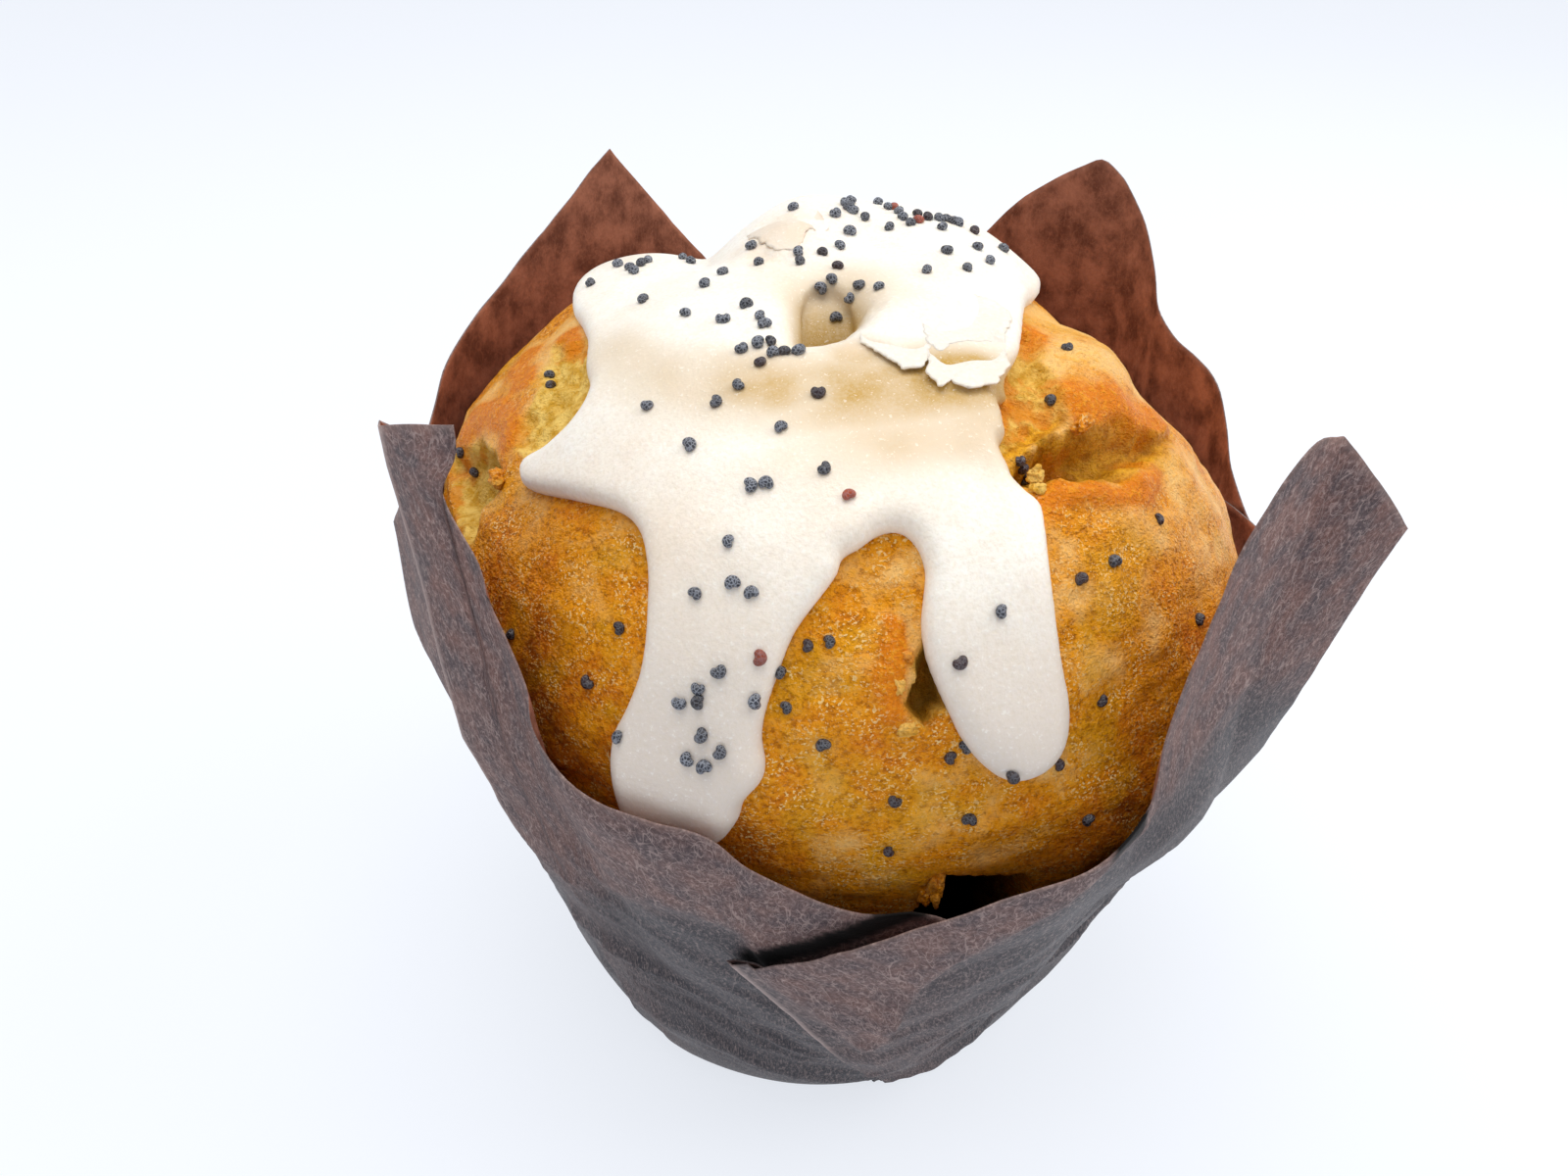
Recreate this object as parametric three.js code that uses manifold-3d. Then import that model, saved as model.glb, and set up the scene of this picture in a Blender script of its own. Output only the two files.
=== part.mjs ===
// An iced muffin in a folded paper case: the cake with its poppy seeds, a skin of thick icing that runs down
// in drips, and one square sheet of paper pressed into a cup with four petals and four pleats.
// Millimetres, +Z up. The origin is the centre of the flat base, and the front faces -Y.
import * as THREE from 'three';
import { mergeVertices } from 'three/addons/utils/BufferGeometryUtils.js';
import Module from 'manifold-3d';

const wasm = await Module();
wasm.setup();
const { Manifold, Mesh } = wasm;

// ---------------------------------------------------------------- driving dimensions
const CAKE_BASE_RADIUS = 26.3;
const CAKE_WIDEST_RADIUS = 37.8;
const CAKE_WIDEST_HEIGHT = 45;
const CROWN_RISE = 28; // plain dome, from the widest height to its top
const CROWN_FULLNESS = 0.93; // below 1 the dome is fuller than an ellipsoid
const CAKE_BOTTOM = 1.05; // height of the cake's underside over its paper
const WALL_FLARE = 0.68; // below 1 the wall spreads fastest near the base
const WALL_STEP = 0.5; // millimetres down the wall for each degree of lean past 90
const GAP = 0.3; // between touching pieces

const ICING_FULL = 2.1; // thickness away from its edge
const ICING_ROUND = 2.6; // width of the rounded edge
const ICING_SPREAD = 0.5; // how far the edge's foot lies past the outline
const ICING_EDGE_SLOPE = 1.6; // how steeply the edge goes on into the cake
const ICING_SUNK = 2; // deepest the icing's form reaches into the cake before the cake is cut out of it

const PAPER_THICKNESS = 0.4;
const PAPER_STAND_OFF = 1; // from the cake's wall to the middle of the paper
const PLEAT_STEP = 0.95; // from one layer of a pleat to the next
const BASE_LAYER_STEP = 0.2; // more of the same, already at the base
const BASE_CORNER = 1.2; // radius of the bend between base and wall
const FOLD_TURN = 0.9; // degrees that a rounded fold reaches past its layers
const FOLD_TURN_AT_BASE = 0.3; // share of that turn at the base
const LAYERS_PART_BY = 1 / 3; // share of its height at which a pleat's layers are fully apart
const PETAL_FROM = 38; // rim height at which the sheet begins to stand up as a petal
const PETAL_FULL = 54; // rim height from which it wholly does
const LEAN_IN_OFFSET = 1.2; // a rim less far from the cake than this leans in, another leans out
const LEAN_IN_START = 0.55; // share of its height up to which a petal that leans in follows the cake
const LEAN_OUT_START = 0.25; // the same for one that leans out
const LEAN_CURVE = 1.4; // above 1 the lean begins softly

const SEED_SIZE = new THREE.Vector3(0.62, 0.46, 0.42); // half length, width and height of a poppy seed
const SEED_BEND = 0.35; // how far its ends bend, by its half width
const SEED_RISE = 0.14; // the seed's middle over the surface it is set in
const SEED_SPACING = 1.5; // between the middles of two seeds
const SEED_TRIES = 60; // places tried in a group before it stays short of a seed
const SEED_SIZE_SPREAD = 0.1; // the largest seeds are larger than the middle one by this share
const SEED_FROM_ICING_EDGE = { onIcing: 1.6, onCake: 1.8 };
const LOWEST_SEED_LEAN = 86; // on the cake, clear of the paper

const FINENESS = 0.13; // faces may be merged as long as no surface moves by more
const COLUMNS = 72; // round the cake and its icing
const LEAN_STEP = 3; // degrees between two rings of the cake or the icing
const ICING_LOWEST = 96; // lean of the icing's lowest ring
const WALL_RINGS = 17; // degrees between two rings below it
const PAPER_ROWS = 9;
const PAPER_TURN = 8; // most degrees between two columns of the sheet

// Directions on the cake are [azimuth, lean] in degrees: azimuth turns from +X towards +Y, and lean goes from
// 0 at the top of the dome to 90 at its widest place, and on down the wall.

// Lumps and hollows of the cake: where, half size along the azimuth and across it, turn, height, and how
// sudden the edge is.
const CAKE_RELIEF = [
  { at: [72, 22], half: [14.5, 9.5], turn: 0, height: 3, sharp: 3 }, // high lump at the back right
  { at: [145, 37], half: [8.5, 8], turn: 0, height: 1.8, sharp: 2.5 }, // lump at the back left
  { at: [165, 62], half: [16, 12], turn: 0, height: 2.5, sharp: 2 }, // full left shoulder
  { at: [22, 48], half: [16, 12], turn: 0, height: -2.6, sharp: 2.5 }, // lower right shoulder
  { at: [122, 26], half: [5.5, 8], turn: 0, height: -3, sharp: 2 }, // saddle between the two lumps
  { at: [275, 8], half: [6.5, 4.2], turn: 0, height: -6, sharp: 2.6 }, // hollow in the crown
  { at: [313, 20], half: [9, 3.2], turn: 0, height: -2, sharp: 2.5 }, // trough under the broken edge
  { at: [320, 38], half: [7, 3.2], turn: 10, height: -3.6, sharp: 3 }, // torn crack on the right
  { at: [345, 34], half: [8, 3.5], turn: 0, height: 1.5, sharp: 2.5 }, // crust ledge above that crack
  { at: [197, 58], half: [4.5, 3.4], turn: 0, height: -2.8, sharp: 3 }, // torn crack on the left
  { at: [277, 63], half: [2.4, 4.8], turn: 0, height: -2.4, sharp: 3 }, // torn hole between the drips
];

// The icing's outline, as a loop of directions with rising azimuth.
const ICING_OUTLINE = [
  // over the back, from the right, with a short run towards the back petal
  [2, 24], [16, 28], [30, 33], [46, 40], [60, 43], [73, 39], [85, 43], [94, 55], [99, 68], [104, 74],
  [110, 70], [115, 58], [124, 48], [136, 44], [147, 41], [158, 40.5], [168, 38.5], [178, 35.5],
  // left side and its pointed lobe
  [190, 34], [201, 36], [206, 41], [209, 49], [214, 52], [222, 49.5], [230, 48.5], [236, 50],
  // left drip
  [240, 56], [241.2, 63], [241.7, 70], [242.1, 78], [242.7, 86], [244, 91], [247.5, 94], [251.5, 94],
  [255, 91], [257.2, 86], [258.7, 80], [259.5, 73], [260.5, 66], [262, 59], [265, 53], [269, 48.5],
  // right drip
  [273, 45.5], [276, 45.5], [277.6, 50], [278.2, 57], [278.8, 64], [280, 70], [282, 76], [285, 81],
  [289, 83.5], [292.5, 82.5], [294.5, 78], [295.4, 70], [296, 62], [297, 54], [298.3, 47], [299.3, 40],
  // right side, along the broken edge of the crown
  [302, 33], [309, 28], [322, 26], [342, 23],
];

// Poppy seeds: middle of a group, how far it spreads, and how many.
const ICING_SEEDS = [
  { at: [158, 31], spread: 5, count: 5 }, { at: [168, 20], spread: 2.5, count: 2 },
  { at: [205, 14], spread: 3.5, count: 4 }, { at: [238, 19], spread: 3, count: 7 },
  { at: [225, 31], spread: 4, count: 3 }, { at: [251, 39], spread: 3, count: 4 },
  { at: [266, 41], spread: 2, count: 1 }, { at: [251, 54], spread: 3, count: 3 },
  { at: [251, 68], spread: 3, count: 4 }, { at: [251.5, 80], spread: 2.6, count: 4 },
  { at: [288, 58], spread: 0, count: 1 }, { at: [283, 64], spread: 0, count: 1 },
  { at: [105, 11], spread: 4.5, count: 6 }, { at: [85, 17], spread: 4, count: 4 },
  { at: [48, 17], spread: 4, count: 3 }, { at: [24, 18], spread: 3.5, count: 4 },
];
const CAKE_SEEDS = [
  { at: [234, 73], spread: 0, count: 1 }, { at: [222, 72], spread: 0, count: 1 },
  { at: [191, 42], spread: 0, count: 1 }, { at: [338, 29], spread: 0, count: 1 },
  { at: [320, 54], spread: 0, count: 1 }, { at: [303, 57], spread: 0, count: 1 },
  { at: [320, 72], spread: 0, count: 1 }, { at: [302, 74], spread: 0, count: 1 },
  { at: [268, 70], spread: 3, count: 3 }, { at: [283, 88], spread: 0, count: 1 },
  { at: [350, 60], spread: 8, count: 3 }, { at: [20, 66], spread: 9, count: 3 },
  { at: [70, 66], spread: 8, count: 2 }, { at: [125, 72], spread: 7, count: 2 },
  { at: [180, 66], spread: 8, count: 3 },
];

// The paper's rim, in the order of the sheet: base azimuth, then azimuth, height and radius at the rim, and
// the layer it lies in. The azimuth runs back where the sheet is folded under itself.
const SHEET = [
  // front pleat, its outer flap and the front edge
  { base: 277, rim: [288, 38, 38.4], layer: 0 }, { base: 281, rim: [255.5, 29.4, 37.8], layer: 2 },
  { base: 283.5, rim: [263, 33, 39.4], layer: 2 }, { base: 287, rim: [273, 37.8, 41.2], layer: 2 },
  { base: 291, rim: [284, 42.2, 42.2], layer: 1.4 }, { base: 296, rim: [294, 43.6, 42.4], layer: 0.7 },
  { base: 300, rim: [300, 47.4, 42.2], layer: 0 },
  // right front petal, with its blunt top
  { base: 303, rim: [301.4, 53, 41.8], layer: 0 }, { base: 307, rim: [304.6, 59.8, 41.5], layer: 0 },
  { base: 311, rim: [309, 68.4, 41.6], layer: 0 }, { base: 316, rim: [315, 73, 42.1], layer: 0 },
  { base: 320, rim: [319.4, 72.4, 42.7], layer: 0 }, { base: 324, rim: [323.8, 68.2, 45], layer: 0 },
  { base: 329, rim: [329, 63.2, 47.2], layer: 0 }, { base: 335, rim: [335, 56, 45.6], layer: 0 },
  { base: 343, rim: [344, 51, 43], layer: 0 },
  // right pleat
  { base: 356, rim: [15, 48, 39.4], layer: 0 }, { base: 359, rim: [-2, 47, 41.4], layer: 2 },
  // right back petal
  { base: 362, rim: [3, 49.5, 41.2], layer: 1.6 }, { base: 366, rim: [9, 56.5, 39.8], layer: 0.8 },
  { base: 373, rim: [14, 59.5, 39], layer: 0 }, { base: 380, rim: [25, 62.8, 38.6], layer: 0 },
  { base: 388, rim: [31, 68, 38.4], layer: 0 }, { base: 396, rim: [35.5, 73, 38], layer: 0 },
  { base: 403, rim: [43, 77, 37.4], layer: 0 }, { base: 411, rim: [56, 72, 37.4], layer: 0 },
  { base: 421, rim: [67, 63.5, 38], layer: 0 }, { base: 432, rim: [77, 55, 39.2], layer: 0 },
  // back pleat
  { base: 447, rim: [99, 50, 39.4], layer: 0 }, { base: 450, rim: [84, 47.5, 41.4], layer: 2 },
  // left back petal
  { base: 455, rim: [95, 51, 41.2], layer: 1.6 }, { base: 465, rim: [106, 59, 39.4], layer: 0.6 },
  { base: 476, rim: [117, 67.5, 37.6], layer: 0 }, { base: 488, rim: [129, 77.6, 36.4], layer: 0 },
  { base: 499, rim: [139.5, 71.4, 37.8], layer: 0 }, { base: 511, rim: [151.5, 67, 38.6], layer: 0 },
  { base: 522, rim: [162.5, 63.8, 39.2], layer: 0 }, { base: 535, rim: [176, 60, 39.8], layer: 0 },
  { base: 552, rim: [196, 56.6, 40.6], layer: 0 },
  // left pleat
  { base: 572, rim: [219, 56, 38.6], layer: 0 }, { base: 586, rim: [211.5, 69.4, 40.8], layer: 2 },
  // left front petal, with its blunt top
  { base: 588, rim: [216, 71.6, 40.8], layer: 1.6 }, { base: 591, rim: [226, 73.4, 39.8], layer: 0.8 },
  { base: 594, rim: [227.2, 67, 39.4], layer: 0.4 }, { base: 597, rim: [229, 61, 39.7], layer: 0 },
  { base: 600, rim: [233, 54.6, 40.2], layer: 0 }, { base: 603, rim: [234.5, 49.6, 40.7], layer: 0 },
  // front edge, leaning out under the drip
  { base: 607, rim: [240, 48.3, 41.2], layer: 0 }, { base: 612, rim: [247, 47.4, 41.5], layer: 0 },
  { base: 616, rim: [255, 47, 41.4], layer: 0 }, { base: 619, rim: [259, 43.8, 40.8], layer: 0 },
  { base: 623, rim: [265, 40.8, 40.2], layer: 0 }, { base: 628, rim: [271, 38.4, 39.4], layer: 0 },
  { base: 633, rim: [280, 38.2, 38.8], layer: 0 },
];

// ---------------------------------------------------------------- small helpers
const radians = (degrees) => (degrees * Math.PI) / 180;
const clamp01 = (x) => Math.min(Math.max(x, 0), 1);
const smooth = (x) => clamp01(x) ** 2 * (3 - 2 * clamp01(x));

// The shorter way round from one azimuth to another.
const shortTurn = (from, to) => ((((to - from) % 360) + 540) % 360) - 180;

// A seeded random number from 0 to 1, the same on every run, by the Park-Miller rule.
function randomSource(seed) {
  const [factor, modulus] = [16807, 2147483647];
  let state = seed;
  return () => {
    state = (state * factor) % modulus;
    return state / modulus;
  };
}

// A smooth closed loop through points of any length, sampled a given number of times between each two.
function closedLoop(points, samples) {
  const curve = [];
  const count = points.length;
  points.forEach((_, i) => {
    const [a, b, c, d] = [-1, 0, 1, 2].map((step) => points[(i + step + count) % count]);
    for (let k = 0; k < samples; k++) {
      const t = k / samples;
      curve.push(b.map((value, axis) => 0.5 * (2 * value + (c[axis] - a[axis]) * t
        + (2 * a[axis] - 5 * value + 4 * c[axis] - d[axis]) * t * t
        + (3 * value - a[axis] - 3 * c[axis] + d[axis]) * t * t * t)));
    }
  });
  return curve;
}

// One closed mesh from rings of points: the first and last ring may be a single point, a pole.
function ringGeometry(rings) {
  const positions = [];
  const starts = rings.map((ring) => {
    const start = positions.length / 3;
    ring.forEach((p) => positions.push(p.x, p.y, p.z));
    return start;
  });
  const faces = [];
  for (let k = 0; k + 1 < rings.length; k++) {
    const [upper, lower] = [rings[k], rings[k + 1]];
    const count = Math.max(upper.length, lower.length);
    for (let i = 0; i < count; i++) {
      const j = (i + 1) % count;
      const [a, b] = [i, j].map((index) => starts[k] + (upper.length === 1 ? 0 : index));
      const [c, d] = [i, j].map((index) => starts[k + 1] + (lower.length === 1 ? 0 : index));
      if (upper.length > 1) faces.push(a, d, b);
      if (lower.length > 1) faces.push(a, c, d);
    }
  }
  const geometry = new THREE.BufferGeometry();
  geometry.setAttribute('position', new THREE.Float32BufferAttribute(positions, 3));
  geometry.setIndex(faces);
  return geometry;
}

function toSolid(geometry) {
  return new Manifold(new Mesh({
    numProp: 3,
    vertProperties: new Float32Array(geometry.attributes.position.array),
    triVerts: new Uint32Array(geometry.index.array),
  }));
}

// The largest body of a solid, as a mesh geometry.
function toGeometry(solid) {
  const largest = solid.decompose().sort((a, b) => b.volume() - a.volume())[0];
  const mesh = largest.getMesh();
  const geometry = new THREE.BufferGeometry();
  geometry.setAttribute('position', new THREE.BufferAttribute(mesh.vertProperties.slice(), 3));
  geometry.setIndex(new THREE.BufferAttribute(mesh.triVerts.slice(), 1));
  return geometry;
}

function namedMesh(name, geometry, colour, roughness) {
  geometry.computeVertexNormals();
  const material = new THREE.MeshStandardMaterial({ color: colour, roughness, metalness: 0 });
  const mesh = new THREE.Mesh(geometry, material);
  mesh.name = name;
  return mesh;
}

// ---------------------------------------------------------------- the cake's skin
function cakeWallRadius(height) {
  const rise = clamp01(height / CAKE_WIDEST_HEIGHT);
  return CAKE_BASE_RADIUS + (CAKE_WIDEST_RADIUS - CAKE_BASE_RADIUS) * rise ** WALL_FLARE;
}

// The plain skin at a direction: its point and the way out of the cake.
function skin(azimuth, lean) {
  const [turn, tilt] = [radians(azimuth), radians(Math.min(lean, 90))];
  let radius = CAKE_WIDEST_RADIUS * Math.sin(tilt) ** CROWN_FULLNESS;
  let height = CAKE_WIDEST_HEIGHT + CROWN_RISE * Math.cos(tilt);
  if (lean > 90) {
    height = CAKE_WIDEST_HEIGHT - WALL_STEP * (lean - 90);
    radius = cakeWallRadius(height);
  }
  const point = new THREE.Vector3(radius * Math.cos(turn), radius * Math.sin(turn), height);
  const outward = new THREE.Vector3(
    (Math.sin(tilt) / CAKE_WIDEST_RADIUS) * Math.cos(turn),
    (Math.sin(tilt) / CAKE_WIDEST_RADIUS) * Math.sin(turn),
    Math.cos(tilt) / CROWN_RISE,
  ).normalize();
  return { point, outward };
}

// Two ways along the skin at a direction: round it, and up it.
function tangents(azimuth, lean) {
  const { outward } = skin(azimuth, lean);
  const round = new THREE.Vector3(-Math.sin(radians(azimuth)), Math.cos(radians(azimuth)), 0);
  return { round, up: new THREE.Vector3().crossVectors(outward, round), outward };
}

const reliefFrames = CAKE_RELIEF.map((form) => {
  const { round, up, outward } = tangents(...form.at);
  const turn = radians(form.turn);
  return {
    ...form,
    centre: skin(...form.at).point,
    outward,
    along: round.clone().multiplyScalar(Math.cos(turn)).addScaledVector(up, Math.sin(turn)),
    across: up.clone().multiplyScalar(Math.cos(turn)).addScaledVector(round, -Math.sin(turn)),
  };
});

function cakeRelief(point) {
  return reliefFrames.reduce((sum, form) => {
    const offset = point.clone().sub(form.centre);
    const [long, short] = form.half;
    const distance = Math.hypot(
      offset.dot(form.along) / long,
      offset.dot(form.across) / short,
      offset.dot(form.outward) / (long + short),
    );
    return sum + form.height * Math.exp(-(distance ** form.sharp));
  }, 0);
}

// The cake's real surface at a direction, raised by a further amount.
function cakeSurface(azimuth, lean, raised = 0) {
  const { point, outward } = skin(azimuth, lean);
  return point.clone().addScaledVector(outward, cakeRelief(point) + raised);
}

// ---------------------------------------------------------------- cake
const azimuths = Array.from({ length: COLUMNS }, (_, i) => (i * 360) / COLUMNS);

function cakeGeometry(raised) {
  const ring = (lean) => azimuths.map((azimuth) => cakeSurface(azimuth, lean, raised));
  const lastLean = 90 + (CAKE_WIDEST_HEIGHT - CAKE_BOTTOM) / WALL_STEP;
  const rings = [[cakeSurface(0, 0, raised)]];
  for (let lean = LEAN_STEP; lean <= ICING_LOWEST; lean += LEAN_STEP) rings.push(ring(lean));
  for (let lean = ICING_LOWEST + WALL_RINGS; lean < lastLean; lean += WALL_RINGS) rings.push(ring(lean));
  return ringGeometry([...rings, ring(lastLean), [new THREE.Vector3(0, 0, CAKE_BOTTOM)]]);
}

// ---------------------------------------------------------------- icing
// The outline as a smooth loop, flat (the lean laid off from the middle along the azimuth) and on the skin.
const laidFlat = (azimuth, lean) => [lean * Math.cos(radians(azimuth)), lean * Math.sin(radians(azimuth))];
const outlineFlat = closedLoop(ICING_OUTLINE.map((direction) => laidFlat(...direction)), 4);
const outlinePoints = outlineFlat.map(([x, y]) =>
  skin(THREE.MathUtils.radToDeg(Math.atan2(y, x)), Math.hypot(x, y)).point);

// How far a point of the skin is from the icing's outline.
const fromOutline = (point) => Math.min(...outlinePoints.map((edge) => edge.distanceTo(point)));

// Whether a direction lies inside the icing's outline, by counting how often the outline passes a ray.
function insideOutline(azimuth, lean) {
  const [x, y] = laidFlat(azimuth, lean);
  return outlineFlat.reduce((inside, [x1, y1], i) => {
    const [x2, y2] = outlineFlat[(i + 1) % outlineFlat.length];
    const passes = (y1 > y) !== (y2 > y) && x < x1 + ((x2 - x1) * (y - y1)) / (y2 - y1);
    return passes ? !inside : inside;
  }, false);
}

// The icing's thickness: rounded towards its outline, and sinking into the cake past it.
function icingThickness(point, azimuth, lean) {
  const distance = ICING_SPREAD + fromOutline(point) * (insideOutline(azimuth, lean) ? 1 : -1);
  if (distance < 0) return -Math.min(-distance * ICING_EDGE_SLOPE, ICING_SUNK);
  const inward = 1 - clamp01(distance / ICING_ROUND);
  return ICING_FULL * (1 - inward * inward);
}

function icingGeometry() {
  const ring = (lean, height) => azimuths.map((azimuth) => {
    const { point, outward } = skin(azimuth, lean);
    return point.clone().addScaledVector(outward, cakeRelief(point) + height(point, azimuth, lean));
  });
  const under = () => -ICING_SUNK - 1;
  const rings = [[cakeSurface(0, 0, ICING_FULL)]];
  for (let lean = LEAN_STEP; lean <= ICING_LOWEST; lean += LEAN_STEP) rings.push(ring(lean, icingThickness));
  for (let lean = ICING_LOWEST; lean > 0; lean -= 3 * LEAN_STEP) rings.push(ring(lean, under));
  return ringGeometry([...rings, [cakeSurface(0, 0, -ICING_SUNK - 1)]]);
}

// ---------------------------------------------------------------- seeds
// A poppy seed, a bean bent a little about its middle, its length along X.
function seedGeometry() {
  const geometry = new THREE.SphereGeometry(1, 6, 3);
  const position = geometry.attributes.position;
  for (let i = 0; i < position.count; i++) {
    const [x, y, z] = [position.getX(i), position.getY(i), position.getZ(i)];
    const bent = y + SEED_BEND * (x * x - 0.5);
    position.setXYZ(i, x * SEED_SIZE.x, bent * SEED_SIZE.y, z * SEED_SIZE.z);
  }
  geometry.deleteAttribute('normal');
  geometry.deleteAttribute('uv');
  return mergeVertices(geometry, 1e-4);
}

// The seeds of all groups on one surface: base(point, azimuth, lean) is the surface's height over the skin
// there, and allowed says, of the same, where a seed may lie.
function seedSolids(groups, seed, base, allowed) {
  const random = randomSource(seed);
  const solids = [];
  const placed = [];
  groups.forEach(({ at, spread, count }) => {
    const { round, up } = tangents(...at);
    for (let tries = 0, made = 0; made < count && tries < SEED_TRIES; tries++) {
      const [distance, heading, spin] = [spread * Math.sqrt(random()), 360 * random(), 360 * random()];
      const middle = skin(...at).point;
      middle.addScaledVector(round, distance * Math.cos(radians(heading)));
      middle.addScaledVector(up, distance * Math.sin(radians(heading)));
      const azimuth = (THREE.MathUtils.radToDeg(Math.atan2(middle.y, middle.x)) + 360) % 360;
      const lean = leanAt(middle);
      const { point, outward } = skin(azimuth, lean);
      const crowded = placed.some((other) => other.distanceTo(point) < SEED_SPACING);
      if (crowded || !allowed(point, azimuth, lean)) continue;
      placed.push(point);
      made += 1;
      const place = point.clone().addScaledVector(outward, base(point, azimuth, lean) + SEED_RISE);
      const turned = new THREE.Quaternion().setFromUnitVectors(new THREE.Vector3(0, 0, 1), outward)
        .multiply(new THREE.Quaternion().setFromAxisAngle(new THREE.Vector3(0, 0, 1), radians(spin)));
      const size = 1 + SEED_SIZE_SPREAD * (2 * random() - 1);
      const matrix = new THREE.Matrix4().compose(place, turned, new THREE.Vector3(size, size, size));
      solids.push(toSolid(seedGeometry().applyMatrix4(matrix)));
    }
  });
  return solids;
}

// The lean of a point near the skin.
function leanAt(point) {
  const height = point.z - CAKE_WIDEST_HEIGHT;
  if (height < 0) return 90 - height / WALL_STEP;
  return THREE.MathUtils.radToDeg(Math.atan2(
    (Math.hypot(point.x, point.y) / CAKE_WIDEST_RADIUS) ** (1 / CROWN_FULLNESS), height / CROWN_RISE,
  ));
}

// ---------------------------------------------------------------- paper case
// The sheet's columns: a rounded turn is added at each fold, and wide steps are divided.
function sheetColumns() {
  const folded = [];
  SHEET.forEach((station, i) => {
    const [next, before] = [SHEET[(i + 1) % SHEET.length], SHEET[(i + SHEET.length - 1) % SHEET.length]];
    const inner = next.layer === 2 && station.layer === 0;
    const outer = station.layer === 2 && before.layer === 0;
    const column = (shift, lift) => ({
      base: station.base + shift * FOLD_TURN_AT_BASE,
      azimuth: station.rim[0] + shift,
      height: station.rim[1],
      radius: station.rim[2] + lift,
      layer: station.layer + lift / PLEAT_STEP,
    });
    if (outer) folded.push(column(0, -PLEAT_STEP), column(-FOLD_TURN, -PLEAT_STEP / 2));
    folded.push(column(0, 0));
    if (inner) folded.push(column(FOLD_TURN, PLEAT_STEP / 2), column(0, PLEAT_STEP));
  });
  return folded.flatMap((column, i) => {
    const next = folded[(i + 1) % folded.length];
    const turn = shortTurn(column.azimuth, next.azimuth);
    const parts = Math.ceil(Math.abs(turn) / PAPER_TURN) || 1;
    const between = (name, t) => column[name] + (next[name] - column[name]) * t;
    return Array.from({ length: parts }, (_, k) => ({
      base: column.base + (shortTurn(column.base, next.base) * k) / parts,
      azimuth: column.azimuth + (turn * k) / parts,
      height: between('height', k / parts),
      radius: between('radius', k / parts),
      layer: between('layer', k / parts),
    }));
  });
}

// The middle of the paper on a column, at a share of its height.
function paperPoint(column, share) {
  const height = BASE_CORNER + (column.height - BASE_CORNER) * share;
  const rimOffset = column.radius - cakeWallRadius(column.height) - PAPER_STAND_OFF;
  const petal = smooth((column.height - PETAL_FROM) / (PETAL_FULL - PETAL_FROM));
  const leanStart = (rimOffset < LEAN_IN_OFFSET ? LEAN_IN_START : LEAN_OUT_START) * petal;
  const lean = clamp01((share - leanStart) / (1 - leanStart)) ** LEAN_CURVE;
  const layerOffset = PLEAT_STEP * column.layer * smooth(share / LAYERS_PART_BY);
  const offset = PAPER_STAND_OFF + layerOffset * (1 - lean) + rimOffset * lean;
  const turn = radians(column.base + shortTurn(column.base, column.azimuth) * share);
  const wall = cakeWallRadius(height);
  const onCake = new THREE.Vector3(wall * Math.cos(turn), wall * Math.sin(turn), height);
  const bulge = Math.max(cakeRelief(onCake), 0) * (1 - lean);
  const radius = wall + offset + BASE_LAYER_STEP * column.layer + bulge;
  return new THREE.Vector3(radius * Math.cos(turn), radius * Math.sin(turn), height);
}

function paperGeometry() {
  const columns = sheetColumns();
  const half = PAPER_THICKNESS / 2;
  const rows = Array.from({ length: PAPER_ROWS }, (_, k) =>
    columns.map((column) => paperPoint(column, k / (PAPER_ROWS - 1))));
  // Way out of the sheet at each point, from its neighbours along the rim and up the wall.
  const sided = (side) => rows.map((row, k) => row.map((point, i) => {
    const [left, right] = [row[(i + row.length - 1) % row.length], row[(i + 1) % row.length]];
    const [below, above] = [rows[Math.max(k - 1, 0)][i], rows[Math.min(k + 1, rows.length - 1)][i]];
    const across = new THREE.Vector3().subVectors(right, left);
    const upward = new THREE.Vector3().subVectors(above, below);
    const outward = across.cross(upward).normalize();
    return point.clone().addScaledVector(outward, side * half);
  }));
  const baseRim = (height) => columns.map((column) => {
    const turn = radians(column.base);
    const radius = CAKE_BASE_RADIUS + GAP;
    return new THREE.Vector3(radius * Math.cos(turn), radius * Math.sin(turn), height);
  });
  const [outside, inside] = [sided(1), sided(-1)];
  return ringGeometry([
    [new THREE.Vector3(0, 0, PAPER_THICKNESS)], baseRim(PAPER_THICKNESS), ...inside,
    ...outside.reverse(), baseRim(0), [new THREE.Vector3(0, 0, 0)],
  ]);
}

// ---------------------------------------------------------------- the muffin
const group = new THREE.Group();

const cakeSeeds = seedSolids(CAKE_SEEDS, 11, cakeRelief, (point, azimuth, lean) =>
  lean < LOWEST_SEED_LEAN && !insideOutline(azimuth, lean)
    && fromOutline(point) > SEED_FROM_ICING_EDGE.onCake);
const cake = Manifold.union([toSolid(cakeGeometry(0)).simplify(FINENESS), ...cakeSeeds]);
group.add(namedMesh('muffin', toGeometry(cake), '#c98a2e', 0.75));

const icingTop = (point, azimuth, lean) => cakeRelief(point) + icingThickness(point, azimuth, lean);
const icingSeeds = seedSolids(ICING_SEEDS, 7, icingTop, (point, azimuth, lean) =>
  insideOutline(azimuth, lean) && fromOutline(point) > SEED_FROM_ICING_EDGE.onIcing);
const raisedCake = toSolid(cakeGeometry(2 * GAP)); // merged faces then still keep the gap
const icingSkin = toSolid(icingGeometry()).subtract(raisedCake).simplify(FINENESS);
const icing = Manifold.union([icingSkin, ...icingSeeds]);
group.add(namedMesh('icing', toGeometry(icing), '#efe9dc', 0.35));

const paper = toSolid(paperGeometry()).simplify(FINENESS);
group.add(namedMesh('paper_case', toGeometry(paper), '#6b5a5b', 0.9));

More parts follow.
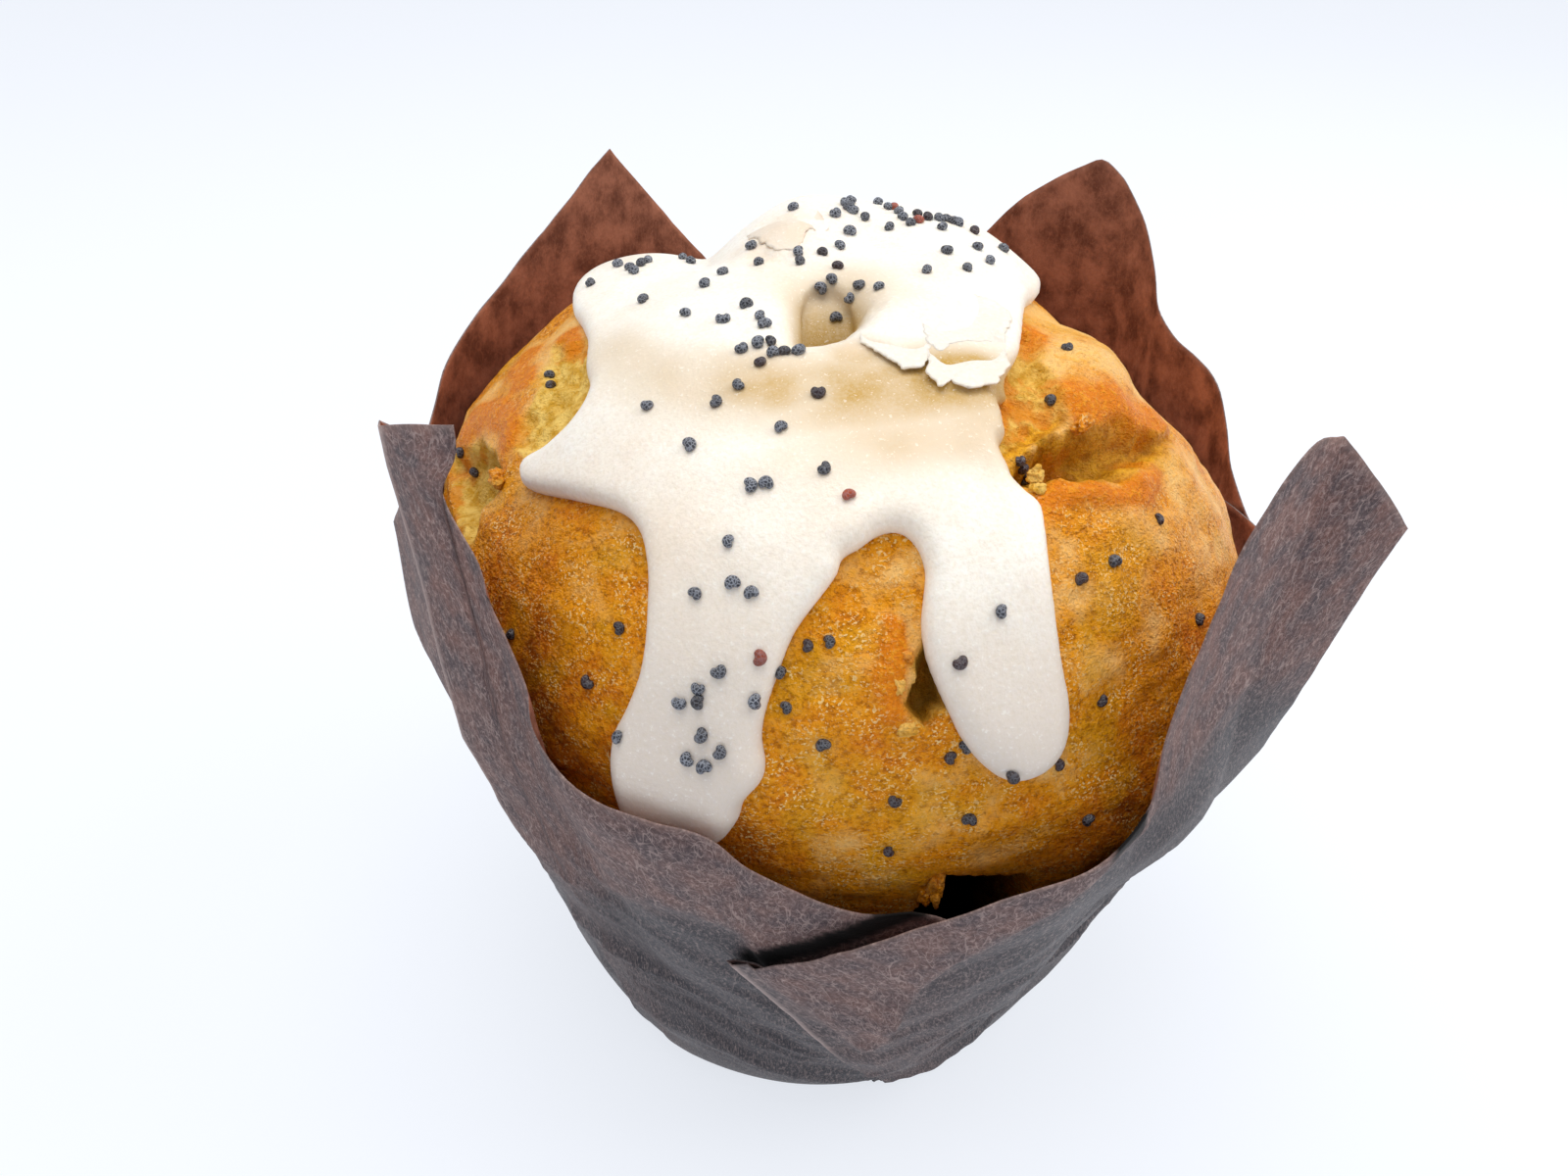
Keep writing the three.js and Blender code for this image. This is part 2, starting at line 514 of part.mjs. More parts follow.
export default group;
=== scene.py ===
"""The looks of an iced muffin in a folded paper case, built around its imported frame.

Forms are given in millimetres and degrees, and every piece is in metres in the frame's own place. A direction
on the cake is (azimuth, lean): azimuth turns from +X towards +Y, and lean goes from 0 at the top of the dome
to 90 at its widest place, and on down the wall."""

import math
from functools import partial
from itertools import product

import bpy
import numpy as np
from mathutils import Matrix, Vector
from mathutils.bvhtree import BVHTree


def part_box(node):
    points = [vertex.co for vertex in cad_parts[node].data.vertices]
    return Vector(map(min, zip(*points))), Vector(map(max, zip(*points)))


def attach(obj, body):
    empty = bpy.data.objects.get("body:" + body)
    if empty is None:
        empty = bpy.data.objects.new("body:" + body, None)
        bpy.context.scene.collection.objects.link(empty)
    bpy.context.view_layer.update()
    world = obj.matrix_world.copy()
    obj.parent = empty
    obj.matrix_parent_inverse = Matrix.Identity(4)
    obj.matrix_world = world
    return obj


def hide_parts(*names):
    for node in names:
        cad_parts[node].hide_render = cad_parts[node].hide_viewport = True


bl_info = {
    "name": "Iced muffin",
    "version": (1, 0, 0),
    "blender": (4, 5, 0),
    "location": "View3D > Sidebar > Muffin",
    "description": "Builds an iced poppy seed muffin in a folded paper case, with its stage",
    "category": "Add Mesh",
}

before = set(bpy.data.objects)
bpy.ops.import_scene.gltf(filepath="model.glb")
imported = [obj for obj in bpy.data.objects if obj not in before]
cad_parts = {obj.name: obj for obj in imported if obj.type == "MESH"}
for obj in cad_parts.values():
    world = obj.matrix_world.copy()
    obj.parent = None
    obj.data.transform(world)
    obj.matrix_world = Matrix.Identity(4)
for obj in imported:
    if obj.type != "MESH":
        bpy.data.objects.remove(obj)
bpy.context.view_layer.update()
MM = 0.001
PICTURE_WIDTH, PICTURE_HEIGHT = 1600, 1200
CAMERA_PLACE = Vector((-5.3, -99.1, 108.2)) * MM
CAMERA_TILT = 56  # degrees up from straight down
CAMERA_LENS = 27
CAMERA_SENSOR = 36


def linear(code):
    """A colour written as an sRGB hex value, in linear light with alpha."""
    parts = [int(code[i : i + 2], 16) / 255 for i in (1, 3, 5)]
    return (*[p / 12.92 if p <= 0.04045 else ((p + 0.055) / 1.055) ** 2.4 for p in parts], 1.0)


# ---------------------------------------------------------------- forms, in millimetres and degrees
CAKE_BASE_RADIUS = 26.3
CAKE_WIDEST_RADIUS = 37.8
CAKE_WIDEST_HEIGHT = 45
CROWN_RISE = 28
CROWN_FULLNESS = 0.93  # below 1 the dome is fuller than an ellipsoid
WALL_FLARE = 0.68  # below 1 the wall spreads fastest near the base
WALL_STEP = 0.5  # millimetres down the wall for each degree of lean past 90
CAKE_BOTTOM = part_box("muffin")[0].z / MM
LAST_LEAN = 90 + (CAKE_WIDEST_HEIGHT - CAKE_BOTTOM) / WALL_STEP
SHOWN_LEAN = 116  # the paper hides what is below
CAKE_COLUMNS = 470
CAKE_ROWS = 205

# Lumps and dips: where, half size along the azimuth and across it, turn, height, and how sudden the edge is.
CAKE_RELIEF = [
    {"at": (72, 22), "half": (14.5, 9.5), "turn": 0, "height": 3, "sharp": 3},  # high lump at the back right
    {"at": (121, 16), "half": (6.5, 6), "turn": 0, "height": 2.2, "sharp": 3},  # its steep left shoulder
    {"at": (145, 37), "half": (8.5, 8), "turn": 0, "height": 1.8, "sharp": 2.5},  # lump at the back left
    {"at": (165, 62), "half": (16, 12), "turn": 0, "height": 2.5, "sharp": 2},  # full left shoulder
    {"at": (22, 48), "half": (16, 12), "turn": 0, "height": -2.6, "sharp": 2.5},  # lower right shoulder
    {"at": (126, 28), "half": (5.5, 7), "turn": 0, "height": -3, "sharp": 2},  # saddle between the lumps
    {"at": (148, 19.5), "half": (4, 4.5), "turn": 0, "height": -1.8, "sharp": 2},  # valley from there to the front
    {"at": (345, 34), "half": (8, 3.5), "turn": 0, "height": 1.5, "sharp": 2.5},  # ledge above the right crack
    {"at": (307, 101), "half": (11, 6), "turn": 0, "height": 3.4, "sharp": 2},  # bulge against the paper, low right
]
# The hollow in the crown: its outline, where it is deepest, and its depth.
HOLLOW = {
    "outline": [(247, 20.3), (255, 19.6), (262, 18.6), (268, 17.4), (274, 16.4), (281, 14.3), (289, 10), (290, 5),
                (228, 2.4), (211, 6.1), (226, 11), (237, 16)],
    "wall": 1.5, "deepest": (265, 15.5), "reach": 6, "depth": 6.8, "even": 0.03,
}
HOLLOW_MARGIN = 1.2  # how much wider it is under the icing, whose thickness narrows it

# Places where the cake is torn open: the outline, the width of its walls, how far its edge wanders, its depth,
# and how strongly its inside is painted darker with depth, as shade.
TEARS = [
    {  # the gash on the right, deepest at its left end
        "outline": [(295, 40), (300, 38), (306, 37), (312, 36.6), (318, 36.8), (324, 38.4), (329, 41), (333.5, 44),
                    (339, 46.6), (345, 48.6), (342, 50.6), (334, 49.5), (326, 48.2), (318, 47.5), (312, 46),
                    (307, 44.2), (300, 42.8)],
        "wall": 1.8, "ragged": 0.8, "deepest": (305, 40), "reach": 10, "depth": 3.8, "even": 0.35,
        "dark": 0.4, "ochre": 1},
    {  # pale crumb between the icing and the gash
        "outline": [(346, 22.5), (338, 26), (327, 29.2), (321.5, 31.8), (318.8, 33.6), (316.5, 36), (312, 36.8),
                    (306, 37.3), (300, 38.3), (297, 37), (297, 33), (303, 28.5), (314, 25), (330, 22)],
        "wall": 1.2, "ragged": 0.9, "deepest": (315, 30), "reach": 12, "depth": 1, "even": 0.3,
        "dark": 0, "ochre": 0.35},
    {  # the pit on the left
        "outline": [(183, 66), (186.6, 61.3), (189, 57.8), (191.8, 55.3), (196.3, 53.9), (201, 54.2), (205.5, 56),
                    (206, 60), (207.5, 63.5), (209, 66), (200, 67.5), (191, 68.5)],
        "wall": 1.7, "ragged": 0.8, "deepest": (197, 60), "reach": 8, "depth": 2.6, "even": 0.25,
        "dark": 0.25, "ochre": 0.15},
    {  # pale crumb above that pit
        "outline": [(179, 40.5), (181.5, 37.5), (184, 35), (200, 34), (213, 36), (217, 40), (213, 45), (209, 50),
                    (203, 50.5), (198.5, 48), (196.5, 45), (193, 43.2), (186.5, 42)],
        "wall": 1.2, "ragged": 0.9, "deepest": (200, 43), "reach": 12, "depth": 0.8, "even": 0.3,
        "dark": 0, "ochre": 0.1},
    {  # the hole beside the right drip, olive inside, with painted shade darkest low on the right where it is deepest
        "outline": [(279.6, 52), (279, 56), (277.4, 60), (276.2, 62.5), (275.6, 65.5), (275.2, 68.5), (275.6, 71),
                    (277.2, 72.4), (279, 71.4), (281, 69), (281, 62), (280.8, 54)],
        "wall": 0.8, "ragged": 0.8, "deepest": (279.6, 70.5), "reach": 3.5, "depth": 3, "even": 0.4,
        "dark": 0.9, "ochre": 0.6},
    {  # the gap between the crust and the flap of the paper, painted near-black inside as shade
        "outline": [(280.4, 101), (283, 101.8), (285.5, 102.8), (288.5, 103.4), (291, 104.4), (292.6, 107), (293.6, 112),
                    (295, 124), (297, 150), (277, 150), (278, 124), (278.8, 108), (279.2, 104)],
        "wall": 0.4, "ragged": 0.2, "deepest": (286, 106), "reach": 16, "depth": 6, "even": 1,
        "dark": 4, "ochre": 1},
]
# Places where torn crust was toasted in the oven: the path, its half width and how high it is raised.
RIDGES = [
    {"path": [(321, 34.5), (326.5, 36.6), (331, 39.5), (335, 42.8), (340, 46.6)], "half": 1.9, "height": 0.5},
    {"path": [(336, 24.5), (345, 24.5)], "half": 1.2, "height": 0},
    {"path": [(307, 29.8), (302, 32.5)], "half": 0.7, "height": 0},
    {"path": [(183, 60), (186, 55), (190, 51.5), (194, 49.3), (199, 50.3)], "half": 1.7, "height": 0.4},
    {"path": [(174, 46), (180, 47), (186, 46)], "half": 1.3, "height": 0.2},
    {"path": [(178, 38), (182, 37.5)], "half": 1.1, "height": 0},
    {"path": [(186, 60), (187, 66)], "half": 1, "height": 0},
    {"path": [(300, 45), (309, 46.3), (316, 49.3), (326, 50)], "half": 1.1, "height": 0.45},
    {"path": [(274.4, 58), (273.6, 64), (273.2, 70)], "half": 0.9, "height": 0.35},
]

# The icing's outline, as a loop of directions with rising azimuth.
ICING_OUTLINE = [
    # over the back, from the right, with a short run towards the back petal
    (2, 23), (16, 27), (30, 32.3), (46, 40), (60, 43), (73, 39), (85, 43), (94, 55), (99, 68), (104, 74),
    (110, 70), (115, 58), (124, 48), (136, 44), (147, 41), (158, 40.5), (168, 38.5), (178, 35.5),
    # left side and its pointed lobe
    (190, 34), (201, 35.5), (209, 37), (212.5, 41), (212, 46), (209.5, 50), (212.5, 52.4), (217, 51.6), (225, 49.4),
    (233, 48.4), (238, 50),
    # left drip
    (241.3, 54), (243, 59), (244, 64), (244, 69), (243, 74), (241.9, 78), (241.8, 83), (242.6, 89), (244, 93),
    (248, 95), (252, 94.5), (255.2, 91.5), (257, 87.5), (257.6, 84), (259.4, 80.5), (259.8, 77.5), (259.2, 74),
    (259.4, 70), (260.4, 65), (262, 59), (264.6, 54.6), (267, 51), (267.6, 48.9),
    # right drip
    (270, 47.6), (273, 45.8), (276, 45.6), (278.2, 47.6), (278.9, 51), (278.2, 54.5), (277.6, 58), (277.8, 62),
    (278.8, 66), (280, 69.8), (281.4, 74), (283.4, 78), (286, 81.2), (288.8, 82), (291.6, 80.8), (293.6, 77.5),
    (294.4, 72), (294.3, 66), (294.8, 60), (296, 53.5), (297.8, 48), (298.6, 45), (296.5, 42), (296.2, 38),
    # right side, along the broken edge of the crown
    (301, 32.5), (309, 28), (322, 24.8), (342, 22.2),
]
ICING_SUNK = 0.5  # how deep its underside lies in the cake
ICING_ROUND = 1.6  # width of its rounded edge
BROKEN_EDGE_MIDDLE = (304, 32)  # round here its edge is broken and ragged

# The part of the crown whose icing stands over the slope in front of it: its outline, and the edge it broke along.
SHELF_EDGE = [(268, 18), (275, 18.5), (281, 19.5), (286, 22), (291, 22), (290.5, 25), (290, 27.5), (298, 28),
              (309, 27.5), (321, 26), (335, 23.5)]
SHELF = SHELF_EDGE + [(0, 20), (90, 12), (180, 8), (245, 12)]
SHELF_MIDDLE = (296, 24)
# Thin plates of icing that broke loose: outline, the place where each still holds, how far from it the free edge
# is, and how high it stands there.
FLAKES = [
    {"outline": [(298, 15), (295, 19), (291, 22), (287, 24), (283, 24), (280, 22), (276, 20), (271, 18), (279, 14),
                 (292, 12)],
     "hinge": (283, 15), "reach": 4.2, "lift": 0.14, "blush": 0.06},
    {"outline": [(292, 21), (288, 25), (289, 28), (292, 27), (295, 29), (302, 29), (310, 27), (317, 23), (316, 20),
                 (306, 18), (297, 18)],
     "hinge": (304, 19.5), "reach": 4.8, "lift": 0.22, "blush": 0.2},
    {"outline": [(298, 15), (294, 20), (294, 22), (300, 21), (312, 22), (316, 24), (323, 22), (332, 21), (338, 17),
                 (332, 12), (313, 11)],
     "hinge": (318, 12.5), "reach": 5.5, "lift": 0.16, "blush": 0.02},
    # the crackled skin over the rough patch
    {"outline": [(142, 14), (134, 17), (124, 18), (115, 16), (109, 12), (103, 9), (108, 6), (120, 8), (147, 6),
                 (156, 8), (151, 10)],
     "hinge": (118, 15.5), "reach": 5, "lift": 0.2, "blush": 0.7},
]
FLAKE_THICKNESS = 0.15
# Loose crumbs: where, half sizes round the cake, down it and out of it, and how much they are soaked crumb.
CRUMBS = [
    {"at": (301.5, 41), "half": (0.7, 0.6, 0.6), "crumb": 0.7},
    {"at": (300.5, 43), "half": (0.6, 0.5, 0.5), "crumb": 0.8},
    {"at": (280, 104), "half": (0.6, 1.7, 0.7), "crumb": 0.2},
    {"at": (279, 106.5), "half": (0.5, 0.9, 0.5), "crumb": 0},
    {"at": (275.5, 62), "half": (0.5, 0.5, 0.5), "crumb": 0},
    {"at": (274.5, 66), "half": (0.5, 0.8, 0.5), "crumb": 0.5},
    {"at": (275.5, 72), "half": (0.9, 0.5, 0.5), "crumb": 0.6},
    {"at": (318.5, 37.5), "half": (1.2, 0.6, 0.6), "crumb": 0},
    {"at": (204, 55.5), "half": (1.2, 0.6, 0.6), "crumb": 0.4},
]
# Where the icing is creamy, and where it is blushed by the crumb below. The creamy band below the broken edge of the
# crown also carries painted shade.
CREAM_TINTS = [
    {"at": (287, 27), "half": (11, 4.2), "turn": 0, "share": 1},
    {"at": (268, 26), "half": (13, 3.6), "turn": 0, "share": 0.7},
    {"at": (250, 26.5), "half": (10, 3.4), "turn": 0, "share": 0.55},
    {"at": (272, 21), "half": (3.5, 2.2), "turn": 0, "share": 0.6},
    {"at": (287, 33), "half": (12, 3.6), "turn": 0, "share": 0.6},
    {"at": (236, 29.5), "half": (10, 3.6), "turn": 0, "share": 0.4},
    {"at": (216, 31), "half": (10, 3.6), "turn": 0, "share": 0.34},
    {"at": (262, 6), "half": (6, 5), "turn": 0, "share": 0.4},
    {"at": (300, 33), "half": (6, 5), "turn": 0, "share": 0.6},
]
BLUSH_TINTS = [
    {"at": (244, 51), "half": (6, 6), "turn": 0, "share": 0.55},
    {"at": (249, 58), "half": (5, 5), "turn": 0, "share": 0.4},
    {"at": (262, 46), "half": (5, 4), "turn": 0, "share": 0.3},
    {"at": (271.5, 19.5), "half": (1.2, 0.8), "turn": 0, "share": 0.8},
    {"at": (214, 30), "half": (1.3, 1), "turn": 0, "share": 0.5},
    {"at": (231, 30.5), "half": (1.2, 0.9), "turn": 0, "share": 0.45},
    {"at": (274, 37.5), "half": (1.6, 1.2), "turn": 0, "share": 0.35},
    {"at": (285, 37), "half": (6, 4), "turn": 0, "share": 0.25},
]
ROUGH_PATCH = {"at": (139, 9.5), "half": (5.5, 3.6), "turn": 20, "share": 0.75}  # where the icing dried lumpy

# The paper's rim, in the order of the sheet: base azimuth, then azimuth, height and radius at the rim, the
# layer it lies in, and whether the rim has a corner there.
SHEET = [
    # front pleat, its outer flap and the front edge
    (277, (287, 32.5, 38.2), 0, True), (281, (255.5, 29.4, 37.8), 2, True), (283.5, (263, 33, 39.4), 2, False),
    (287, (273, 37.8, 41.2), 2, False), (291, (284, 42.2, 42.2), 1.4, False),
    (296, (294, 43.6, 42.4), 0.7, False), (300, (300, 47.4, 42.2), 0, False),
    # right front petal, with its blunt top
    (303, (301.4, 53, 41.8), 0, False), (307, (304.6, 59.8, 41.5), 0, False), (311, (309, 68.4, 41.6), 0, False),
    (316, (315, 73, 42.1), 0, False), (320, (319.4, 72.4, 42.7), 0, True), (324, (323.8, 68.2, 45.2), 0, False),
    (329, (329, 63.2, 47.6), 0, True), (335, (335, 56, 46.3), 0, False), (343, (344, 51, 43), 0, False),
    # right pleat
    (356, (15, 48, 39.4), 0, True), (359, (-2, 47, 41.4), 2, True),
    # right back petal
    (362, (4.5, 48.2, 41), 1.6, False), (364.5, (8.5, 52, 40), 1.1, False), (367, (11, 56.2, 39.5), 0.7, False),
    (370, (14, 59.5, 39), 0.3, False), (374, (19, 60.9, 38.8), 0, False), (379, (25, 61.8, 38.6), 0, False),
    (383, (28.8, 63.8, 38.5), 0, False), (387, (30.5, 67.3, 38.3), 0, False), (392, (33, 71.1, 38), 0, False),
    (397, (36, 74, 37.7), 0, False), (402, (39.4, 76.3, 37.4), 0, False), (405, (43, 77.1, 37.4), 0, False),
    (408, (46, 76.2, 37.4), 0, False), (412, (51, 74.3, 37.4), 0, False), (417, (57, 71.4, 37.6), 0, False),
    (422, (62.5, 67.2, 37.8), 0, False), (428, (70, 61.5, 38.4), 0, False), (436, (80, 54.5, 39.2), 0, False),
    # back pleat
    (447, (99, 50, 39.4), 0, True), (450, (84, 47.5, 41.4), 2, True),
    # left back petal
    (455, (95, 51, 41.2), 1.6, False), (463, (104, 57, 39.6), 0.8, False), (471, (113, 64.2, 37.9), 0.2, False),
    (480, (122, 71.4, 37.1), 0, False), (489, (130, 77.7, 36.5), 0, True), (500, (141, 71.9, 37.5), 0, False),
    (511, (152, 67.3, 38.2), 0, False), (521, (162, 63.9, 39), 0, False), (527, (168, 61.4, 39.6), 0, False),
    (531, (171.5, 58.5, 40), 0, False), (535, (175, 57, 40.1), 0, False), (547, (187, 56.4, 40), 0, False),
    (556, (192.5, 56, 40.2), 0, False), (560, (196.5, 56, 40.6), 0, True), (564, (200, 58.4, 40), 0, False),
    (571, (207, 61, 39.6), 0, False),
    # left pleat
    (588, (221, 60, 38.6), 0, True), (596, (212, 70.7, 40.8), 2, True),
    # left front petal, with its blunt top and its wavy edge
    (597.2, (216, 73.1, 40.5), 1.9, False), (598.4, (222, 74.5, 40), 1.8, True),
    (599.4, (222.9, 70.6, 39.9), 1.7, False), (600.4, (223.8, 67.2, 39.8), 1.6, False),
    (601.4, (225.8, 65.4, 39.8), 1.4, False), (602.6, (228, 63.4, 39.8), 1.2, False),
    (604, (229, 60.4, 39.9), 1, False), (605.6, (231.2, 57.6, 40), 0.75, False),
    (607.4, (233.2, 54.6, 40.2), 0.55, False),
    (609.2, (234.6, 50.4, 40.6), 0.38, False), (611.4, (239, 48.2, 41.2), 0.2, False),
    # front edge, leaning out under the drip
    (614.4, (247, 47.4, 41.5), 0.06, False), (617.4, (255, 47, 41.4), 0, False),
    (620, (259, 43.8, 40.8), 0, False), (623.5, (265, 40.8, 40.2), 0, False), (628, (271, 38.4, 39.6), 0, False),
    (633, (279, 37.6, 39.2), 0, False),
]
# The left front petal's tip leans over its edge: from which height, over how much height, and how far round.
TIP_FROM = 67
TIP_HEIGHT = 6.8
TIP_SHIFT = 6.5
# The paper below this line was pressed against the tin, and is painted darker and bluer as shade: azimuth, height.
PRESSED_LINE = [(-10, 41), (20, 40), (90, 42), (160, 42), (200, 40), (223, 36), (227, 32), (233, 31), (242, 34),
                (250, 35), (256, 34), (258.6, 30), (262, 26.5), (265.5, 24), (269, 20), (272.6, 16), (275.7, 18.6),
                (277.4, 27),
                (281, 33), (286, 35.5), (292, 38.5), (298.5, 43), (310, 47), (319, 50), (335, 45), (350, 41)]
# Where the paper stands out from the plain wall, or lies closer: azimuth and height, half sizes, and how far.
PAPER_BULGES = [
    {"at": (207, 46), "half": (24, 8), "out": 0.85},
    {"at": (325, 35), "half": (28, 12), "out": 1.05},
    {"at": (252, 0), "half": (34, 13), "out": 1.35},
    {"at": (318, 6), "half": (26, 13), "out": -0.8},
]
# The free edge of the front flap, azimuth and height: behind it the paper gets no light, and is painted near-black as
# shade.
FLAP_EDGE = [(252, 28), (255.5, 29.4), (263, 33), (273, 37.8), (284, 42.2), (294, 43.6), (300, 47.4)]
PAPER_STAND_OFF = 1
PLEAT_STEP = 0.6
BASE_LAYER_STEP = 0.2
BASE_CORNER = 1.2
FOLD_TURN = 0.9
FOLD_TURN_AT_BASE = 0.3
LAYERS_PART_BY = 1 / 3
PETAL_FROM = 38
PETAL_FULL = 54
LEAN_IN_OFFSET = 1.2
LEAN_IN_START = 0.55
LEAN_OUT_START = 0.25
LEAN_CURVE = 1.4
PAPER_COLUMN = 1  # width of the sheet's smallest strips at the rim
PAPER_ROWS = 84
CREASE_SLOPE = 0.42  # how steeply the creases climb round the case, away from its front
CREASE_MIDDLE = 275
BASE_RINGS = 5

# Poppy seeds, each a picture point (x, y) in the camera's view of PICTURE_WIDTH by PICTURE_HEIGHT. A seed lies on
# the first surface that the camera sees there, and its tone is drawn at random by these shares.
SEED_TONES = (0.1, 0.5, 0.9)  # slate, dark and red
ICING_SEED_SHARES = (0.82, 0.14, 0.04)
CAKE_SEED_SHARES = (0, 1, 0)
ICING_SEEDS = [
    # along the back of the crown
    (810, 213), (868, 206), (862, 209), (866, 213), (870, 216), (852, 219), (882, 223), (896, 208),
    (906, 213), (912, 213), (917, 217), (921, 223), (929, 229), (937, 226), (946, 223), (936, 220),
    (958, 224), (965, 225), (972, 227), (978, 229), (907, 233), (961, 233), (994, 237), (867, 237),
    # over the crown and round the hollow
    (857, 252), (839, 259), (815, 258), (816, 268), (855, 273), (849, 286), (837, 294), (877, 292),
    (868, 305), (897, 294), (945, 277), (966, 257), (997, 253), (1023, 255), (1009, 267), (987, 275),
    (853, 325), (767, 252), (775, 269),
    # the cluster on the lip, and the slope below it
    (762, 312), (776, 324), (780, 332), (740, 327), (757, 357), (774, 351), (786, 350), (789, 361),
    (800, 360), (815, 359), (776, 371), (754, 394), (835, 402), (720, 291), (738, 279), (700, 321),
    (736, 327),
    # left side and the drips
    (603, 290), (631, 271), (647, 278), (655, 270), (661, 267), (643, 274), (657, 307), (696, 264),
    (705, 268), (661, 415), (704, 455), (731, 411), (797, 437), (766, 496), (782, 494), (841, 479),
    (866, 506), (744, 553), (748, 595), (710, 606), (1021, 624), (979, 676), (734, 685), (713, 702),
    (694, 717), (713, 716), (716, 750), (702, 774), (735, 767), (719, 782), (632, 752), (794, 685),
    (1033, 791), (767, 605), (775, 671), (770, 715),
]
CAKE_SEEDS = [
    (1089, 355), (1072, 409), (1182, 530), (1103, 591), (1223, 632), (1124, 715), (1080, 780), (1110, 836),
    (913, 817), (989, 836), (907, 868), (802, 722), (824, 659), (846, 655), (632, 641), (600, 696),
    (522, 647), (485, 482), (470, 462), (970, 773), (985, 762), (1046, 488), (1040, 470), (1137, 573),
    (840, 760), (561, 383), (562, 394), (1043, 478),
]
HORIZON_STEP = 2  # a seed on the horizon moves down by this many picture points until it meets a surface
HORIZON_REACH = 16

# ---------------------------------------------------------------- small maths
def smooth(x):
    x = np.clip(x, 0, 1)
    return x * x * (3 - 2 * x)


def lumps(points, size, seed):
    """Smooth random lumps of a size, from -1 to 1, at each point."""
    count = 32
    table = np.random.default_rng(seed).uniform(-1, 1, (count,) * 3)
    cell = np.asarray(points) / size
    low = np.floor(cell).astype(int)
    near = smooth(cell - low)
    total = np.zeros(len(cell))
    for corner in product((0, 1), repeat=3):
        index = (low + corner) % count
        weight = np.prod(np.where(corner, near, 1 - near), axis=1)
        total += weight * table[index[:, 0], index[:, 1], index[:, 2]]
    return total


def closed_loop(points, samples):
    """A smooth closed curve through points, sampled a given number of times between each two."""
    points = np.asarray(points, float)
    before, after, beyond = (np.roll(points, -step, axis=0) for step in (-1, 1, 2))
    t = (np.arange(samples) / samples)[None, :, None]
    a, b, c, d = (p[:, None, :] for p in (before, points, after, beyond))
    curve = 0.5 * (2 * b + (c - a) * t + (2 * a - 5 * b + 4 * c - d) * t**2 + (3 * b - a - 3 * c + d) * t**3)
    return curve.reshape(-1, points.shape[1])


def nearest_on(outline, points, chunk=4000):
    """The nearest place on a closed outline to each point, and how far it is."""
    start, step = outline, np.roll(outline, -1, axis=0) - outline
    places, distances = [], []
    for first in range(0, len(points), chunk):
        offset = points[first : first + chunk, None, :] - start[None]
        share = np.clip((offset * step).sum(-1) / np.maximum((step * step).sum(-1), 1e-12), 0, 1)
        away = np.linalg.norm(offset - share[..., None] * step, axis=-1)
        best = away.argmin(1)
        rows = np.arange(len(best))
        places.append(start[best] + share[rows, best][:, None] * step[best])
        distances.append(away[rows, best])
    return np.concatenate(places), np.concatenate(distances)


def inside(outline, points, chunk=8000):
    """Whether each flat point lies inside a closed flat outline."""
    x1, y1 = outline.T
    x2, y2 = np.roll(outline, -1, axis=0).T
    flat_edge = np.where(y2 == y1, 1e-12, y2 - y1)
    found = []
    for first in range(0, len(points), chunk):
        x, y = points[first : first + chunk, 0:1], points[first : first + chunk, 1:2]
        passes = ((y1 > y) != (y2 > y)) & (x < x1 + (x2 - x1) * (y - y1) / flat_edge)
        found.append(passes.sum(1) % 2 == 1)
    return np.concatenate(found)


def laid_flat(azimuth, lean):
    """Directions in a plane: the lean laid off from the middle, along the azimuth."""
    turn = np.radians(azimuth)
    return np.stack([lean * np.cos(turn), lean * np.sin(turn)], axis=-1)


def from_flat(flat):
    return np.degrees(np.arctan2(flat[:, 1], flat[:, 0])) % 360, np.hypot(flat[:, 0], flat[:, 1])


# ---------------------------------------------------------------- the cake's skin
def wall_radius(height):
    rise = np.clip(height / CAKE_WIDEST_HEIGHT, 0, 1)
    return CAKE_BASE_RADIUS + (CAKE_WIDEST_RADIUS - CAKE_BASE_RADIUS) * rise**WALL_FLARE


def skin(azimuth, lean):
    """The plain skin at each direction: its points, and the way out of the cake."""
    azimuth, lean = np.atleast_1d(azimuth).astype(float), np.atleast_1d(lean).astype(float)
    turn, tilt = np.radians(azimuth), np.radians(np.minimum(lean, 90))
    below = CAKE_WIDEST_HEIGHT - WALL_STEP * (lean - 90)
    height = np.where(lean > 90, below, CAKE_WIDEST_HEIGHT + CROWN_RISE * np.cos(tilt))
    radius = np.where(lean > 90, wall_radius(height), CAKE_WIDEST_RADIUS * np.sin(tilt) ** CROWN_FULLNESS)
    points = np.stack([radius * np.cos(turn), radius * np.sin(turn), height], axis=1)
    sideways = np.sin(tilt) / CAKE_WIDEST_RADIUS
    outward = np.stack([sideways * np.cos(turn), sideways * np.sin(turn), np.cos(tilt) / CROWN_RISE], axis=1)
    return points, outward / np.linalg.norm(outward, axis=1, keepdims=True)


def direction_of(points):
    """The direction of points near the skin."""
    azimuth = np.degrees(np.arctan2(points[:, 1], points[:, 0])) % 360
    height = points[:, 2] - CAKE_WIDEST_HEIGHT
    reach = (np.hypot(points[:, 0], points[:, 1]) / CAKE_WIDEST_RADIUS) ** (1 / CROWN_FULLNESS)
    return azimuth, np.where(height < 0, 90 - height / WALL_STEP, np.degrees(np.arctan2(reach, height / CROWN_RISE)))


def form_distance(form, points):
    """How far points are from a form's middle, 1 at its edge."""
    centre, outward = (row[0] for row in skin(*form["at"]))
    azimuth, turn = math.radians(form["at"][0]), math.radians(form["turn"])
    round_it = np.array([-math.sin(azimuth), math.cos(azimuth), 0])
    up_it = np.cross(outward, round_it)
    along = round_it * math.cos(turn) + up_it * math.sin(turn)
    across = up_it * math.cos(turn) - round_it * math.sin(turn)
    long, short = form["half"]
    offset = points - centre
    return np.sqrt((offset @ along / long) ** 2 + (offset @ across / short) ** 2
                   + (offset @ outward / (long + short)) ** 2)


